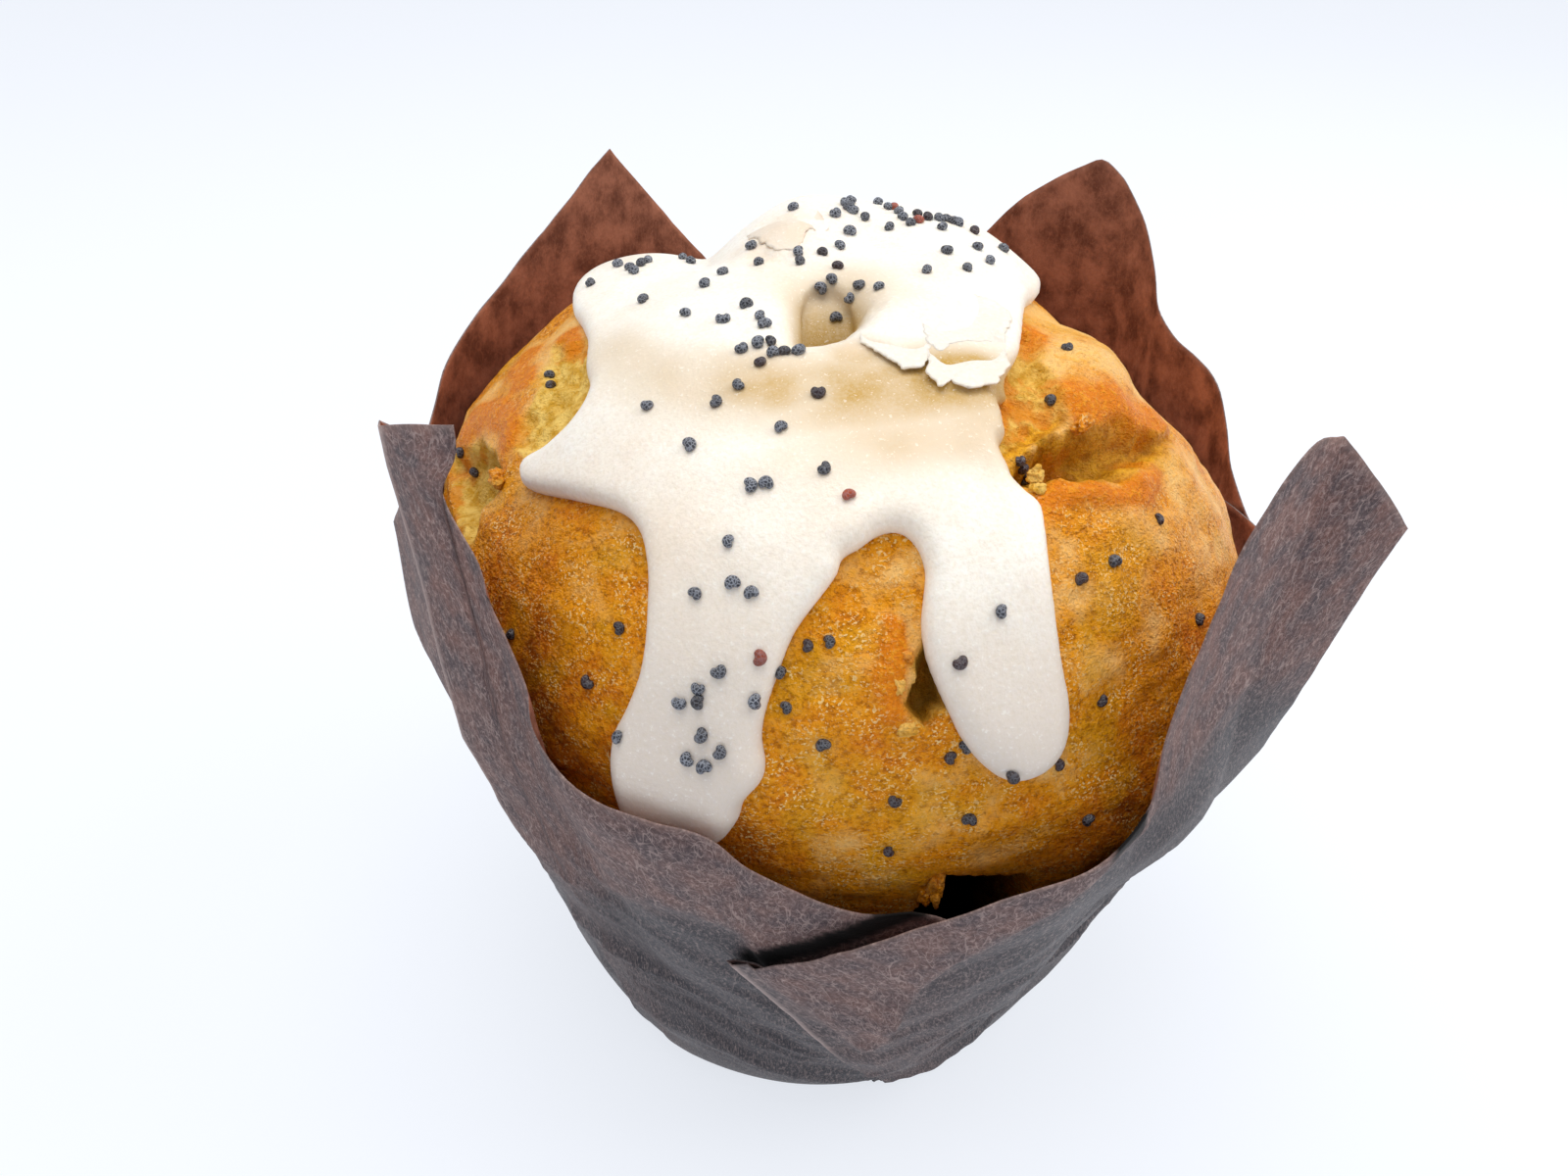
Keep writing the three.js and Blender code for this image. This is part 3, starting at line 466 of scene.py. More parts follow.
def relief(points):
    """Height of the large lumps and hollows over the plain skin."""
    return sum(form["height"] * np.exp(-(form_distance(form, points) ** form["sharp"])) for form in CAKE_RELIEF)


def on_skin(directions):
    """Points on the plain skin for a list of directions."""
    return skin(*np.array(directions, float).T)[0]


def carved(form, points, flat, ragged=0.0, wider=0.0):
    """Depth of a carved place and how far inside its outline each point is, in millimetres."""
    outline = closed_loop(laid_flat(*np.array(form["outline"], float).T), 4)
    centre = outline.mean(0)
    near = np.hypot(*(flat - centre).T) < np.hypot(*(outline - centre).T).max() + 4
    depth, within = np.zeros(len(points)), np.full(len(points), -9.0)
    place = points[near]
    side = np.where(inside(outline, flat[near]), 1, -1)
    edge = side * nearest_on(skin(*from_flat(outline))[0], place)[1]
    edge += ragged * (0.6 * lumps(place, 1.9, 21) + 0.4 * lumps(place, 0.8, 22))
    towards = np.exp(-((np.linalg.norm(place - on_skin([form["deepest"]])[0], axis=1) / form["reach"]) ** 2))
    share = form["even"] + (1 - form["even"]) * towards
    depth[near] = form["depth"] * smooth((edge + wider) / form["wall"]) * share
    within[near] = edge
    return depth, within


def beside(path, points):
    """Distance of points from an open path of directions."""
    return nearest_on(on_skin(path + path[-2:0:-1]), points)[1]


# ---------------------------------------------------------------- mesh tools
def vertices_of(piece):
    flat = np.empty(len(piece.data.vertices) * 3, np.float32)
    piece.data.vertices.foreach_get("co", flat)
    return flat.reshape(-1, 3).astype(float)


def move_vertices(piece, points):
    piece.data.vertices.foreach_set("co", points.astype(np.float32).ravel())
    piece.data.update()


def store(piece, name, values):
    """Keeps a number for each vertex under a name that the materials read."""
    attribute = piece.data.attributes.get(name) or piece.data.attributes.new(name, "FLOAT", "POINT")
    attribute.data.foreach_set("value", np.asarray(values, np.float32))


def primitive(kind, name, **settings):
    """Adds a primitive with nothing else selected, and names it."""
    bpy.ops.object.select_all(action="DESELECT")
    getattr(bpy.ops.mesh, f"primitive_{kind}_add")(**settings)
    piece = bpy.context.object
    piece.name = piece.data.name = name
    return piece


def select_vertices(piece, chosen):
    """Selects these vertices, and leaves the piece in edit mode."""
    bpy.ops.object.mode_set(mode="EDIT")
    bpy.ops.mesh.select_mode(type="VERT")
    bpy.ops.mesh.select_all(action="DESELECT")
    bpy.ops.object.mode_set(mode="OBJECT")
    piece.data.vertices.foreach_set("select", chosen)
    bpy.ops.object.mode_set(mode="EDIT")


def apply_modifier(piece, kind, **settings):
    bpy.context.view_layer.objects.active = piece
    modifier = piece.modifiers.new(kind.title(), kind)
    for name, value in settings.items():
        setattr(modifier, name, value)
    bpy.ops.object.modifier_apply(modifier=modifier.name)


def border_vertices(piece):
    """Whether each vertex lies on the open border of a sheet."""
    edge_of_loop = np.empty(len(piece.data.loops), np.int32)
    piece.data.loops.foreach_get("edge_index", edge_of_loop)
    faces_at_edge = np.bincount(edge_of_loop, minlength=len(piece.data.edges))
    ends = np.empty(len(piece.data.edges) * 2, np.int32)
    piece.data.edges.foreach_get("vertices", ends)
    on_border = np.zeros(len(piece.data.vertices), bool)
    on_border[ends.reshape(-1, 2)[faces_at_edge == 1].ravel()] = True
    return on_border


def trimmed_sheet(name, outline, step):
    """A flat grid in the plane of laid_flat, trimmed to an outline with its border moved onto it."""
    low, high = outline.min(0) - step, outline.max(0) + step
    counts = np.ceil((high - low) / step).astype(int)
    sheet = primitive("grid", name, x_subdivisions=int(counts[0]), y_subdivisions=int(counts[1]), size=1)
    points = vertices_of(sheet)
    points[:, :2] = (low + high) / 2 + points[:, :2] * (high - low)
    move_vertices(sheet, points)
    select_vertices(sheet, ~inside(outline, points[:, :2]))
    bpy.ops.mesh.delete(type="VERT")
    bpy.ops.mesh.select_all(action="SELECT")
    bpy.ops.mesh.delete_loose(use_verts=True, use_edges=True, use_faces=False)
    bpy.ops.object.mode_set(mode="OBJECT")
    points = vertices_of(sheet)
    border = border_vertices(sheet)
    points[border, :2] = nearest_on(outline, points[border, :2])[0]
    move_vertices(sheet, points)
    return sheet


def joined(name, parts):
    """Joins objects into one piece."""
    bpy.ops.object.select_all(action="DESELECT")
    for part in parts:
        part.select_set(True)
    bpy.context.view_layer.objects.active = parts[0]
    bpy.ops.object.join()
    piece = bpy.context.object
    piece.name = piece.data.name = name
    return piece


def finish_piece(piece, material, node=None):
    """Smooth faces, the material, and the piece's place in the frame."""
    bpy.ops.object.select_all(action="DESELECT")
    piece.select_set(True)
    bpy.context.view_layer.objects.active = piece
    bpy.ops.object.shade_smooth()
    if material is not None:
        piece.data.materials.append(material)
    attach(piece, "root")
    if node:
        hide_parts(node)
    return piece


# ---------------------------------------------------------------- materials
COLOUR = {"data_type": "RGBA"}


def add_node(tree, kind, inputs, output=0, **settings):
    """Adds a node with its settings, fills its inputs with values or other nodes' outputs, and gives an output."""
    node = tree.nodes.new(f"ShaderNode{kind}")
    for name, value in settings.items():
        setattr(node, name, value)
    for key, value in inputs.items():
        if isinstance(value, bpy.types.NodeSocket):
            tree.links.new(value, node.inputs[key])
        else:
            node.inputs[key].default_value = value
    return node.outputs[output]


def new_material(name):
    """A material: itself, its node adder, its shader and its Object coordinates."""
    material = bpy.data.materials.new(name)
    material.use_nodes = True
    node = partial(add_node, material.node_tree)
    return material, node, material.node_tree.nodes["Principled BSDF"], node("TexCoord", {}, 3)


def cells(size):
    """How many cells of a size in millimetres lie along a metre, for a texture's scale."""
    return 1 / (size * MM)


def crust_material(colours):
    """Baked sponge crust: golden to brown, with a fine grain whose pits are painted in shade and whose tops are painted
    lighter with painted glints, and moist crumb where it tore, painted darker with depth as shade.
    """
    material, node, shader, place = new_material("baked_crust")
    bake_and_painted_light, toast, torn, dark, ochre = (node("Attribute", {}, 2, attribute_name=name)
                                      for name in ("bake_and_painted_light", "toast", "crumb", "dark", "ochre"))
    mottle = node("TexNoise", {"Vector": place, "Scale": cells(4.5), "Detail": 4, "Roughness": 0.6})
    cloudy = node("MapRange", {0: mottle, 1: 0.3, 2: 0.7, 3: -0.3, 4: 0.3})
    baked = node("Math", {0: bake_and_painted_light, 1: cloudy}, operation="ADD", use_clamp=True)
    crust = colours.crust_pale
    for low, high, colour in ((0, 0.33, colours.crust_golden), (0.33, 0.66, colours.crust_orange),
                              (0.66, 1, colours.crust_brown)):
        crust = node("Mix", {0: node("MapRange", {0: baked, 1: low, 2: high}), 6: crust, 7: colour}, 2, **COLOUR)
    patches = node("TexNoise", {"Vector": place, "Scale": cells(7), "Detail": 3, "Roughness": 0.55})
    share = node("MapRange", {0: patches, 1: 0.52, 2: 0.62, 3: 0, 4: 0.6})
    crust = node("Mix", {0: share, 6: crust, 7: colours.crust_yellow}, 2, **COLOUR)
    edge = node("MapRange", {0: toast, 1: 0, 2: 0.6})
    crust = node("Mix", {0: edge, 6: crust, 7: colours.crust_toasted}, 2, **COLOUR)
    # The grain is drawn at 0.3 to 0.6 mm, a little coarser than the real one, so that it shows.
    coarse = node("MapRange", {0: baked, 1: 0.1, 2: 0.32, 3: 0.3, 4: 1})
    coarse = node("Math", {0: coarse, 1: node("MapRange", {0: toast, 1: 0, 2: 1, 3: 1, 4: 0.35})},
                  operation="MULTIPLY")
    lying = node("Mapping", {"Vector": place, "Rotation": (0.25, 0.2, 0), "Scale": (1, 1, 1.25)})
    grain = node("TexNoise", {"Vector": lying, "Scale": cells(0.55), "Detail": 4, "Roughness": 0.72})
    fine = node("TexNoise", {"Vector": lying, "Scale": cells(0.25), "Detail": 1, "Roughness": 0.6})
    # Painted shade: the pits between the grains are darkened.
    pits = node("Math", {0: node("MapRange", {0: grain, 1: 0.36, 2: 0.5, 3: 0.6, 4: 0}), 1: coarse},
                operation="MULTIPLY")
    crust = node("Mix", {0: pits, 6: crust, 7: colours.crust_pits_painted_shade}, 2, **COLOUR)
    # Painted light: the tops of the grains are lightened.
    lit = node("MapRange", {0: grain, 1: 0.5, 2: 0.64, 3: 0, 4: 0.6})
    crust = node("Mix", {0: lit, 6: crust, 7: colours.crust_grain_painted_light}, 2, **COLOUR)
    # Painted highlights: small glints in patches, fewer where the crust is smooth or toasted.
    patchy = node("TexNoise", {"Vector": place, "Scale": cells(2.4), "Detail": 2})
    painted_glint_patches = node("Math", {0: node("MapRange", {0: patchy, 1: 0.42, 2: 0.62, 3: 0.1, 4: 0.85}), 1: coarse},
                  operation="MULTIPLY")
    glint = node("Math", {0: node("MapRange", {0: fine, 1: 0.575, 2: 0.625}), 1: painted_glint_patches}, operation="MULTIPLY")
    crust = node("Mix", {0: glint, 6: crust, 7: colours.crust_painted_glint}, 2, **COLOUR)
    # Painted shade together with moister crumb: the crumb is darker in the hollows of its pore relief.
    moist = node("TexNoise", {"Vector": place, "Scale": cells(1.1), "Detail": 4, "Roughness": 0.65})
    pale = node("MapRange", {0: moist, 1: 0.4, 2: 0.6})
    crumb = node("Mix", {0: pale, 6: colours.crumb_hollow_shade, 7: colours.crumb}, 2, **COLOUR)
    soaked = node("Mix", {0: pale, 6: colours.crumb_ochre_hollow_shade, 7: colours.crumb_ochre}, 2, **COLOUR)
    crumb = node("Mix", {0: ochre, 6: crumb, 7: soaked}, 2, **COLOUR)
    toasted = node("MapRange", {0: mottle, 1: 0.53, 2: 0.6, 3: 0, 4: 0.65})
    crumb = node("Mix", {0: toasted, 6: crumb, 7: colours.crust_toasted}, 2, **COLOUR)
    # Painted shade: the crumb darkens with depth in the tears, and turns near-black deep in the gap by the paper.
    crumb = node("Mix", {0: node("MapRange", {0: dark, 1: 0, 2: 0.7, 3: 0, 4: 0.85}), 6: crumb, 7: colours.crumb_shade},
                 2, **COLOUR)
    crumb = node("Mix", {0: node("MapRange", {0: dark, 1: 0.9, 2: 1.5}), 6: crumb, 7: colours.gap}, 2, **COLOUR)
    colour = node("Mix", {0: torn, 6: crust, 7: crumb}, 2, **COLOUR)
    material.node_tree.links.new(colour, shader.inputs["Base Color"])
    wrinkles = node("Bump", {"Height": grain, "Distance": 0.5 * MM, "Strength": 0.8})
    pores = node("Bump", {"Height": moist, "Distance": 0.35 * MM, "Strength": 0.5, "Normal": wrinkles})
    grit = node("Bump", {"Height": fine, "Distance": 0.22 * MM, "Strength": 0.7, "Normal": pores})
    material.node_tree.links.new(grit, shader.inputs["Normal"])
    shader.inputs["Roughness"].default_value = 0.36
    shader.inputs["Specular IOR Level"].default_value = 0.13
    return material


def icing_material(colours):
    """Set sugar icing: satin, slightly translucent, with a fine grain whose hollows are painted in shade and whose tops
    carry painted glints, yellower where it is thin over crumb, with painted shade deep in the hollow and below the
    broken edge, and greyer lower down.
    """
    material, node, shader, place = new_material("sugar_icing")
    cream_and_shade, blush, thin, greying = (node("Attribute", {}, 2, attribute_name=name)
                               for name in ("cream_and_shade", "blush", "thin", "greying"))
    cloud = node("TexNoise", {"Vector": place, "Scale": cells(6), "Detail": 4, "Roughness": 0.6})
    share = node("MapRange", {0: cloud, 1: 0.42, 2: 0.68, 3: 0, 4: 0.35})
    colour = node("Mix", {0: share, 6: colours.icing, 7: colours.icing_blush}, 2, **COLOUR)
    uneven = node("Math", {0: cream_and_shade, 1: node("MapRange", {0: cloud, 1: 0.3, 2: 0.7, 3: 1.3, 4: 0.8})},
                  operation="MULTIPLY", use_clamp=True)
    # Creamy tint, partly painted shade below the broken edge of the crown.
    colour = node("Mix", {0: uneven, 6: colour, 7: colours.icing_cream_and_shade}, 2, **COLOUR)
    colour = node("Mix", {0: blush, 6: colour, 7: colours.icing_blush}, 2, **COLOUR)
    # Yellower and darker with depth in the hollow: crumb showing through thin icing, and painted shade.
    colour = node("Mix", {0: thin, 6: colour, 7: colours.icing_thin}, 2, **COLOUR)
    # Greyer lower down the sides and the drips.
    colour = node("Mix", {0: greying, 6: colour, 7: colours.icing_greying}, 2, **COLOUR)
    grain = node("TexNoise", {"Vector": place, "Scale": cells(0.33), "Detail": 2, "Roughness": 0.65})
    colour = node("Mix", {0: node("MapRange", {0: grain, 1: 0.3, 2: 0.55, 3: 0.3, 4: 0}), 6: colour,
                          7: colours.icing_shade}, 2, **COLOUR)
    # Painted highlights: small bright glints on the tops of the icing's grain.
    sugar = node("MapRange", {0: grain, 1: 0.62, 2: 0.7, 3: 0, 4: 0.4})
    colour = node("Mix", {0: sugar, 6: colour, 7: colours.icing_painted_glint}, 2, **COLOUR)
    material.node_tree.links.new(colour, shader.inputs["Base Color"])
    soft = node("TexNoise", {"Vector": place, "Scale": cells(1.8), "Detail": 3})
    swells = node("Bump", {"Height": soft, "Distance": 0.12 * MM, "Strength": 0.6})
    fine = node("Bump", {"Height": grain, "Distance": 0.07 * MM, "Strength": 0.7, "Normal": swells})
    material.node_tree.links.new(fine, shader.inputs["Normal"])
    shader.inputs["Roughness"].default_value = 0.4
    shader.inputs["Subsurface Weight"].default_value = 0.22
    shader.inputs["Subsurface Radius"].default_value = (0.9, 0.75, 0.5)
    shader.inputs["Subsurface Scale"].default_value = 1.0 * MM
    return material


def paper_material(name, base, dark, low, high, fibre, fibre_share, cloud_size, felt_share):
    """Greaseproof baking paper: thin and matt, felted from long curly fibres that catch the light, with painted shade
    low down and in the slot behind the flap, and wear with painted highlight along its folds and rim.
    """
    material, node, shader, _ = new_material(name)
    along, up, pressed_and_shaded, wear_and_painted_highlight, slot_painted_shade = (node("Attribute", {}, 2, attribute_name=key)
                                        for key in ("along", "up", "low", "wear_and_painted_highlight", "slot_painted_shade"))
    sheet = node("CombineXYZ", {"X": along, "Y": up})
    clouds = node("TexNoise", {"Vector": sheet, "Scale": cells(cloud_size), "Detail": 4, "Roughness": 0.58})
    # Colour changes with height; inside the case the lower part is lighter, as painted light that makes up for the
    # shade of the cake.
    upper = node("MapRange", {0: up, 1: 46 * MM, 2: 62 * MM, 3: 0, 4: 0.8})
    petal = node("Mix", {0: upper, 6: base, 7: high}, 2, **COLOUR)
    ground = node("Mix", {0: node("MapRange", {0: clouds, 1: 0.38, 2: 0.62}), 6: dark, 7: petal}, 2, **COLOUR)
    # Painted shade: darker and bluer below the pressed line.
    ground = node("Mix", {0: pressed_and_shaded, 6: ground, 7: low}, 2, **COLOUR)
    felt = node("TexNoise", {"Vector": sheet, "Scale": cells(0.5), "Detail": 4, "Roughness": 0.8})
    shade = node("MapRange", {0: felt, 1: 0.34, 2: 0.55, 3: felt_share, 4: 0})
    ground = node("Mix", {0: shade, 6: ground, 7: (0, 0, 0, 1)}, 2, **COLOUR)
    light = node("MapRange", {0: felt, 1: 0.52, 2: 0.68, 3: 0, 4: felt_share})
    ground = node("Mix", {0: light, 6: ground, 7: fibre}, 2, **COLOUR)
    # Each layer of threads is where a noise passes its middle, in turned and stretched coordinates.
    threads = 0.0
    for turn, squeeze, size in ((0.3, 0.5, 1.2), (1.2, 0.6, 1.5), (2, 0.5, 1), (2.8, 0.7, 1.3), (-0.7, 0.4, 1.6),
                                (0.8, 0.8, 0.9)):
        turned = node("Mapping", {"Vector": sheet, "Rotation": (0, 0, turn), "Scale": (1, squeeze, 1),
                                  "Location": (turn, squeeze, 0)})
        winding = node("TexNoise", {"Vector": turned, "Scale": cells(size), "Detail": 0.6, "Roughness": 0.5})
        line = node("Math", {0: winding, 1: 0.5, 2: 0.009}, operation="COMPARE")
        broken = node("TexNoise", {"Vector": turned, "Scale": cells(1), "Detail": 0})
        line = node("Math", {0: line, 1: node("MapRange", {0: broken, 1: 0.44, 2: 0.58})}, operation="MULTIPLY")
        threads = node("Math", {0: threads, 1: line}, operation="MAXIMUM")
    shown = node("Math", {0: threads, 1: node("MapRange", {0: pressed_and_shaded, 1: 0, 2: 1, 3: fibre_share,
                                                            4: 0.45 * fibre_share})}, operation="MULTIPLY")
    # Wear and painted highlight: lighter along the fold edges and the rim.
    shown = node("Math", {0: shown, 1: node("MapRange", {0: wear_and_painted_highlight, 1: 0, 2: 1, 3: 0, 4: 0.7})}, operation="MAXIMUM")
    colour = node("Mix", {0: shown, 6: ground, 7: fibre}, 2, **COLOUR)
    # Painted shade: near-black in the slot behind the front flap.
    colour = node("Mix", {0: slot_painted_shade, 6: colour, 7: (0.002, 0.0015, 0.0015, 1)}, 2, **COLOUR)
    material.node_tree.links.new(colour, shader.inputs["Base Color"])
    ironed = node("MapRange", {0: pressed_and_shaded, 1: 0, 2: 1, 3: 0.7, 4: 0.5})
    material.node_tree.links.new(ironed, shader.inputs["Roughness"])
    relief_of_felt = node("Bump", {"Height": felt, "Distance": 0.12 * MM, "Strength": 0.6})
    material.node_tree.links.new(relief_of_felt, shader.inputs["Normal"])
    shader.inputs["Specular IOR Level"].default_value = 0.22
    shader.inputs["Sheen Weight"].default_value = 0.05
    shader.inputs["Sheen Roughness"].default_value = 0.5
    return material


def seed_material(colours):
    """Poppy seed: a hard slate-grey coat with a raised net; a few are dark, brown or red."""
    material, node, shader, place = new_material("poppy_seed")
    tone = node("Attribute", {}, 2, attribute_name="tone")
    coat = colours.seed_slate
    for low, high, colour in ((0, 0.4, colours.seed_dark), (0.4, 0.7, colours.seed_brown), (0.7, 1, colours.seed_red)):
        coat = node("Mix", {0: node("MapRange", {0: tone, 1: low, 2: high}), 6: coat, 7: colour}, 2, **COLOUR)
    net = node("TexVoronoi", {"Vector": place, "Scale": cells(0.25)}, feature="DISTANCE_TO_EDGE")
    line = node("MapRange", {0: net, 1: 0.02, 2: 0.2, 3: 1, 4: 0})
    share = node("Math", {0: line, 1: node("MapRange", {0: tone, 1: -0.2, 2: 0.5, 3: 0.85, 4: 0.15})},
                 operation="MULTIPLY")
    coloured = node("Mix", {0: share, 6: coat, 7: colours.seed_net}, 2, **COLOUR)
    material.node_tree.links.new(coloured, shader.inputs["Base Color"])
    raised = node("Bump", {"Height": line, "Distance": 0.05 * MM, "Strength": 0.8})
    material.node_tree.links.new(raised, shader.inputs["Normal"])
    shader.inputs["Roughness"].default_value = 0.26
    return material


def floor_material(colours):
    """Matt white card, with a little light of its own as a lit table has, so that the shadows stay faint."""
    material, _, shader, _ = new_material("white_card")
    shader.inputs["Base Color"].default_value = colours.floor
    shader.inputs["Roughness"].default_value = 0.9
    shader.inputs["Emission Color"].default_value = colours.floor_glow
    shader.inputs["Emission Strength"].default_value = 0.76
    return material


# ---------------------------------------------------------------- settings
def colour_setting(name, description, code):
    return bpy.props.FloatVectorProperty(
        name=name, description=description, subtype="COLOR", size=4, min=0, max=1, default=linear(code))


def length_setting(name, description, millimetres):
    return bpy.props.FloatProperty(
        name=name, description=description, unit="LENGTH", precision=5, min=0, default=millimetres * MM)


class MuffinColours(bpy.types.PropertyGroup):
    crust_pale: colour_setting("Pale crust", "Crust that was baked least, on the shoulders", "#fcc878")
    crust_golden: colour_setting("Golden crust", "Crust over the middle of the cake", "#ea9404")
    crust_orange: colour_setting("Deep crust", "Crust towards the case", "#de7a06")
    # Also carries the painted shade low on the left and low on the right.
    crust_brown: colour_setting("Brown crust", "Crust that was baked most", "#9a4600")
    crust_yellow: colour_setting("Yellow crust", "Patches where the crust is thin", "#dc9c08")
    crust_toasted: colour_setting("Toasted edge", "Raised edges of torn crust", "#e27e04")
    # Painted shade between the grains, painted light on their tops, and painted glints.
    crust_pits_painted_shade: colour_setting("Crust between the grains", "Deep brown between the grains", "#8a4200")
    crust_grain_painted_light: colour_setting("Crust grain", "Lit side of the grains", "#f8aa28")
    crust_painted_glint: colour_setting("Sugar glints", "Moist points that glint", "#ffdf9c")
    crumb: colour_setting("Crumb", "Inside of the cake in the tears", "#fad676")
    crumb_hollow_shade: colour_setting("Deep crumb", "Moist hollows of the crumb", "#daa632")
    crumb_ochre: colour_setting("Moist crumb", "Crumb that the icing soaked", "#eeac24")
    crumb_ochre_hollow_shade: colour_setting("Moist crumb, deep", "Hollows of the soaked crumb", "#bc7a04")
    crumb_shade: colour_setting("Shaded crumb", "Crumb deep in the tears", "#7d5206")
    # Painted shadow: near-black where the crust meets the paper.
    gap: colour_setting("Gap", "Dark between the crust and the paper", "#020101")
    icing: colour_setting("Icing", "Thick icing", "#fbf6ec")
    icing_cream_and_shade: colour_setting("Creamy icing", "Icing over moist yellow crumb", "#b98c02")
    icing_blush: colour_setting("Blushed icing", "Icing over brown crust", "#ecd6bd")
    icing_thin: colour_setting("Thin icing", "Icing in the hollow that lets the crumb through", "#ae860c")
    icing_greying: colour_setting("Wet icing", "Thin wet icing at the ends of the drips", "#e0d4c8")
    icing_shade: colour_setting("Icing between the grains", "Small hollows in the icing", "#d9cbb4")
    icing_painted_glint: colour_setting("Icing sugar", "Small bright grains in the icing", "#fffdf6")
    paper_outside: colour_setting("Paper outside", "Outer side of the case", "#765a55")
    paper_outside_dark: colour_setting("Paper outside, dark", "Clouds in the outer side", "#5b4c4e")
    # Painted shade on the lower outside of the case.
    paper_low_painted_shade: colour_setting("Pressed paper", "Outer side of the case where the tin pressed it", "#3c3a40")
    paper_high: colour_setting("Paper petals", "Outer side of the petals", "#7f5a52")
    paper_inside: colour_setting("Paper inside", "Inner side of the case", "#b8785e")
    paper_inside_high: colour_setting("Petals inside", "Inner side of the petals", "#9a614b")
    paper_inside_dark: colour_setting("Paper inside, dark", "Clouds in the inner side", "#673826")
    paper_fibre: colour_setting("Paper fibre", "Light fibres in the paper", "#b8a29b")
    seed_slate: colour_setting("Slate seed", "Most poppy seeds", "#30333c")
    seed_dark: colour_setting("Dark seed", "Dark poppy seeds", "#211d22")
    seed_brown: colour_setting("Brown seed", "Brown poppy seeds", "#33191a")
    seed_red: colour_setting("Red seed", "Broken reddish seeds", "#a4482a")
    seed_net: colour_setting("Seed net", "Raised net on a poppy seed", "#a8adb9")
    floor: colour_setting("Floor", "Card under the muffin", "#87898d")
    floor_glow: colour_setting("Floor glow", "Light of the table itself", "#f4f8ff")


class MuffinSizes(bpy.types.PropertyGroup):
    icing_thickness: length_setting("Icing thickness", "Thickness of the icing away from its edge", 1.8)
    icing_grain: length_setting("Icing mesh size", "Size of the faces that the icing is made of", 0.31)
    paper_thickness: length_setting("Paper thickness", "Thickness of the paper sheet", 0.16)
    paper_crease: length_setting("Paper creases", "Height of the creases in the paper", 0.5)
    seed_length: length_setting("Seed length", "Length of a poppy seed", 1.12)


# ---------------------------------------------------------------- cake
def icing_outline():
    """The icing's outline, flat and on the skin."""
    flat = closed_loop(laid_flat(*np.array(ICING_OUTLINE, float).T), 6)
    broken = np.exp(-((np.linalg.norm(flat - laid_flat(*BROKEN_EDGE_MIDDLE), axis=1) / 10) ** 4))[:, None]
    level = np.c_[flat, np.zeros(len(flat))]
    flat = flat + broken * np.stack([lumps(level, 1.7, 93), lumps(level, 1.7, 94)], axis=1)
    return flat, skin(*from_flat(flat))[0]


def bake_and_painted_light_of(azimuth, lean, points):
    """How brown the crust is, from 0, pale, to 1, brown: partly how far it was baked, partly painted shade and light.
    """
    # Browner towards the bottom. Browner low on the left and low on the right: painted shade from the paper, with
    # deeper baking. Paler low at the front: painted light.
    down = smooth((lean - 34) / 76)
    right = np.exp(-((((azimuth + 180) % 360 - 180 + 8) / 46) ** 2))
    left = np.exp(-(((azimuth - 221) / 13) ** 2)) * smooth((lean - 55) / 30)
    low_right = np.exp(-(((azimuth - 312) / 15) ** 2)) * smooth((lean - 78) / 25)
    front = np.exp(-(((azimuth - 266) / 22) ** 2)) * smooth((lean - 70) / 20)
    high_left = np.exp(-(((azimuth - 184) / 24) ** 2)) * (1 - smooth((lean - 50) / 20))
    cloudy = 0.2 * lumps(points, 11, 31) + 0.12 * lumps(points, 4, 32)
    return np.clip(0.3 - 0.25 * high_left + 0.3 * down - 0.4 * right * (1 - 0.6 * down) + 0.55 * left + 0.45 * low_right
                   - 0.2 * front + cloudy, 0, 1)


def rolled_grid(name, columns, rows):
    """A grid to be rolled into a closed shape: its object, and each vertex's column and row."""
    sheet = primitive("grid", name, x_subdivisions=columns, y_subdivisions=rows, size=1)
    start = vertices_of(sheet)
    column = np.rint((start[:, 0] + 0.5) * columns).astype(int)
    row = np.rint((start[:, 1] + 0.5) * rows).astype(int)
    return sheet, column, row


def close_seams(piece):
    """Merges the vertices that meet at a seam or a pole, and turns the faces outwards."""
    bpy.ops.object.mode_set(mode="EDIT")
    bpy.ops.mesh.select_all(action="SELECT")
    bpy.ops.mesh.remove_doubles(threshold=0.000002)
    bpy.ops.mesh.normals_make_consistent(inside=False)
    bpy.ops.object.mode_set(mode="OBJECT")


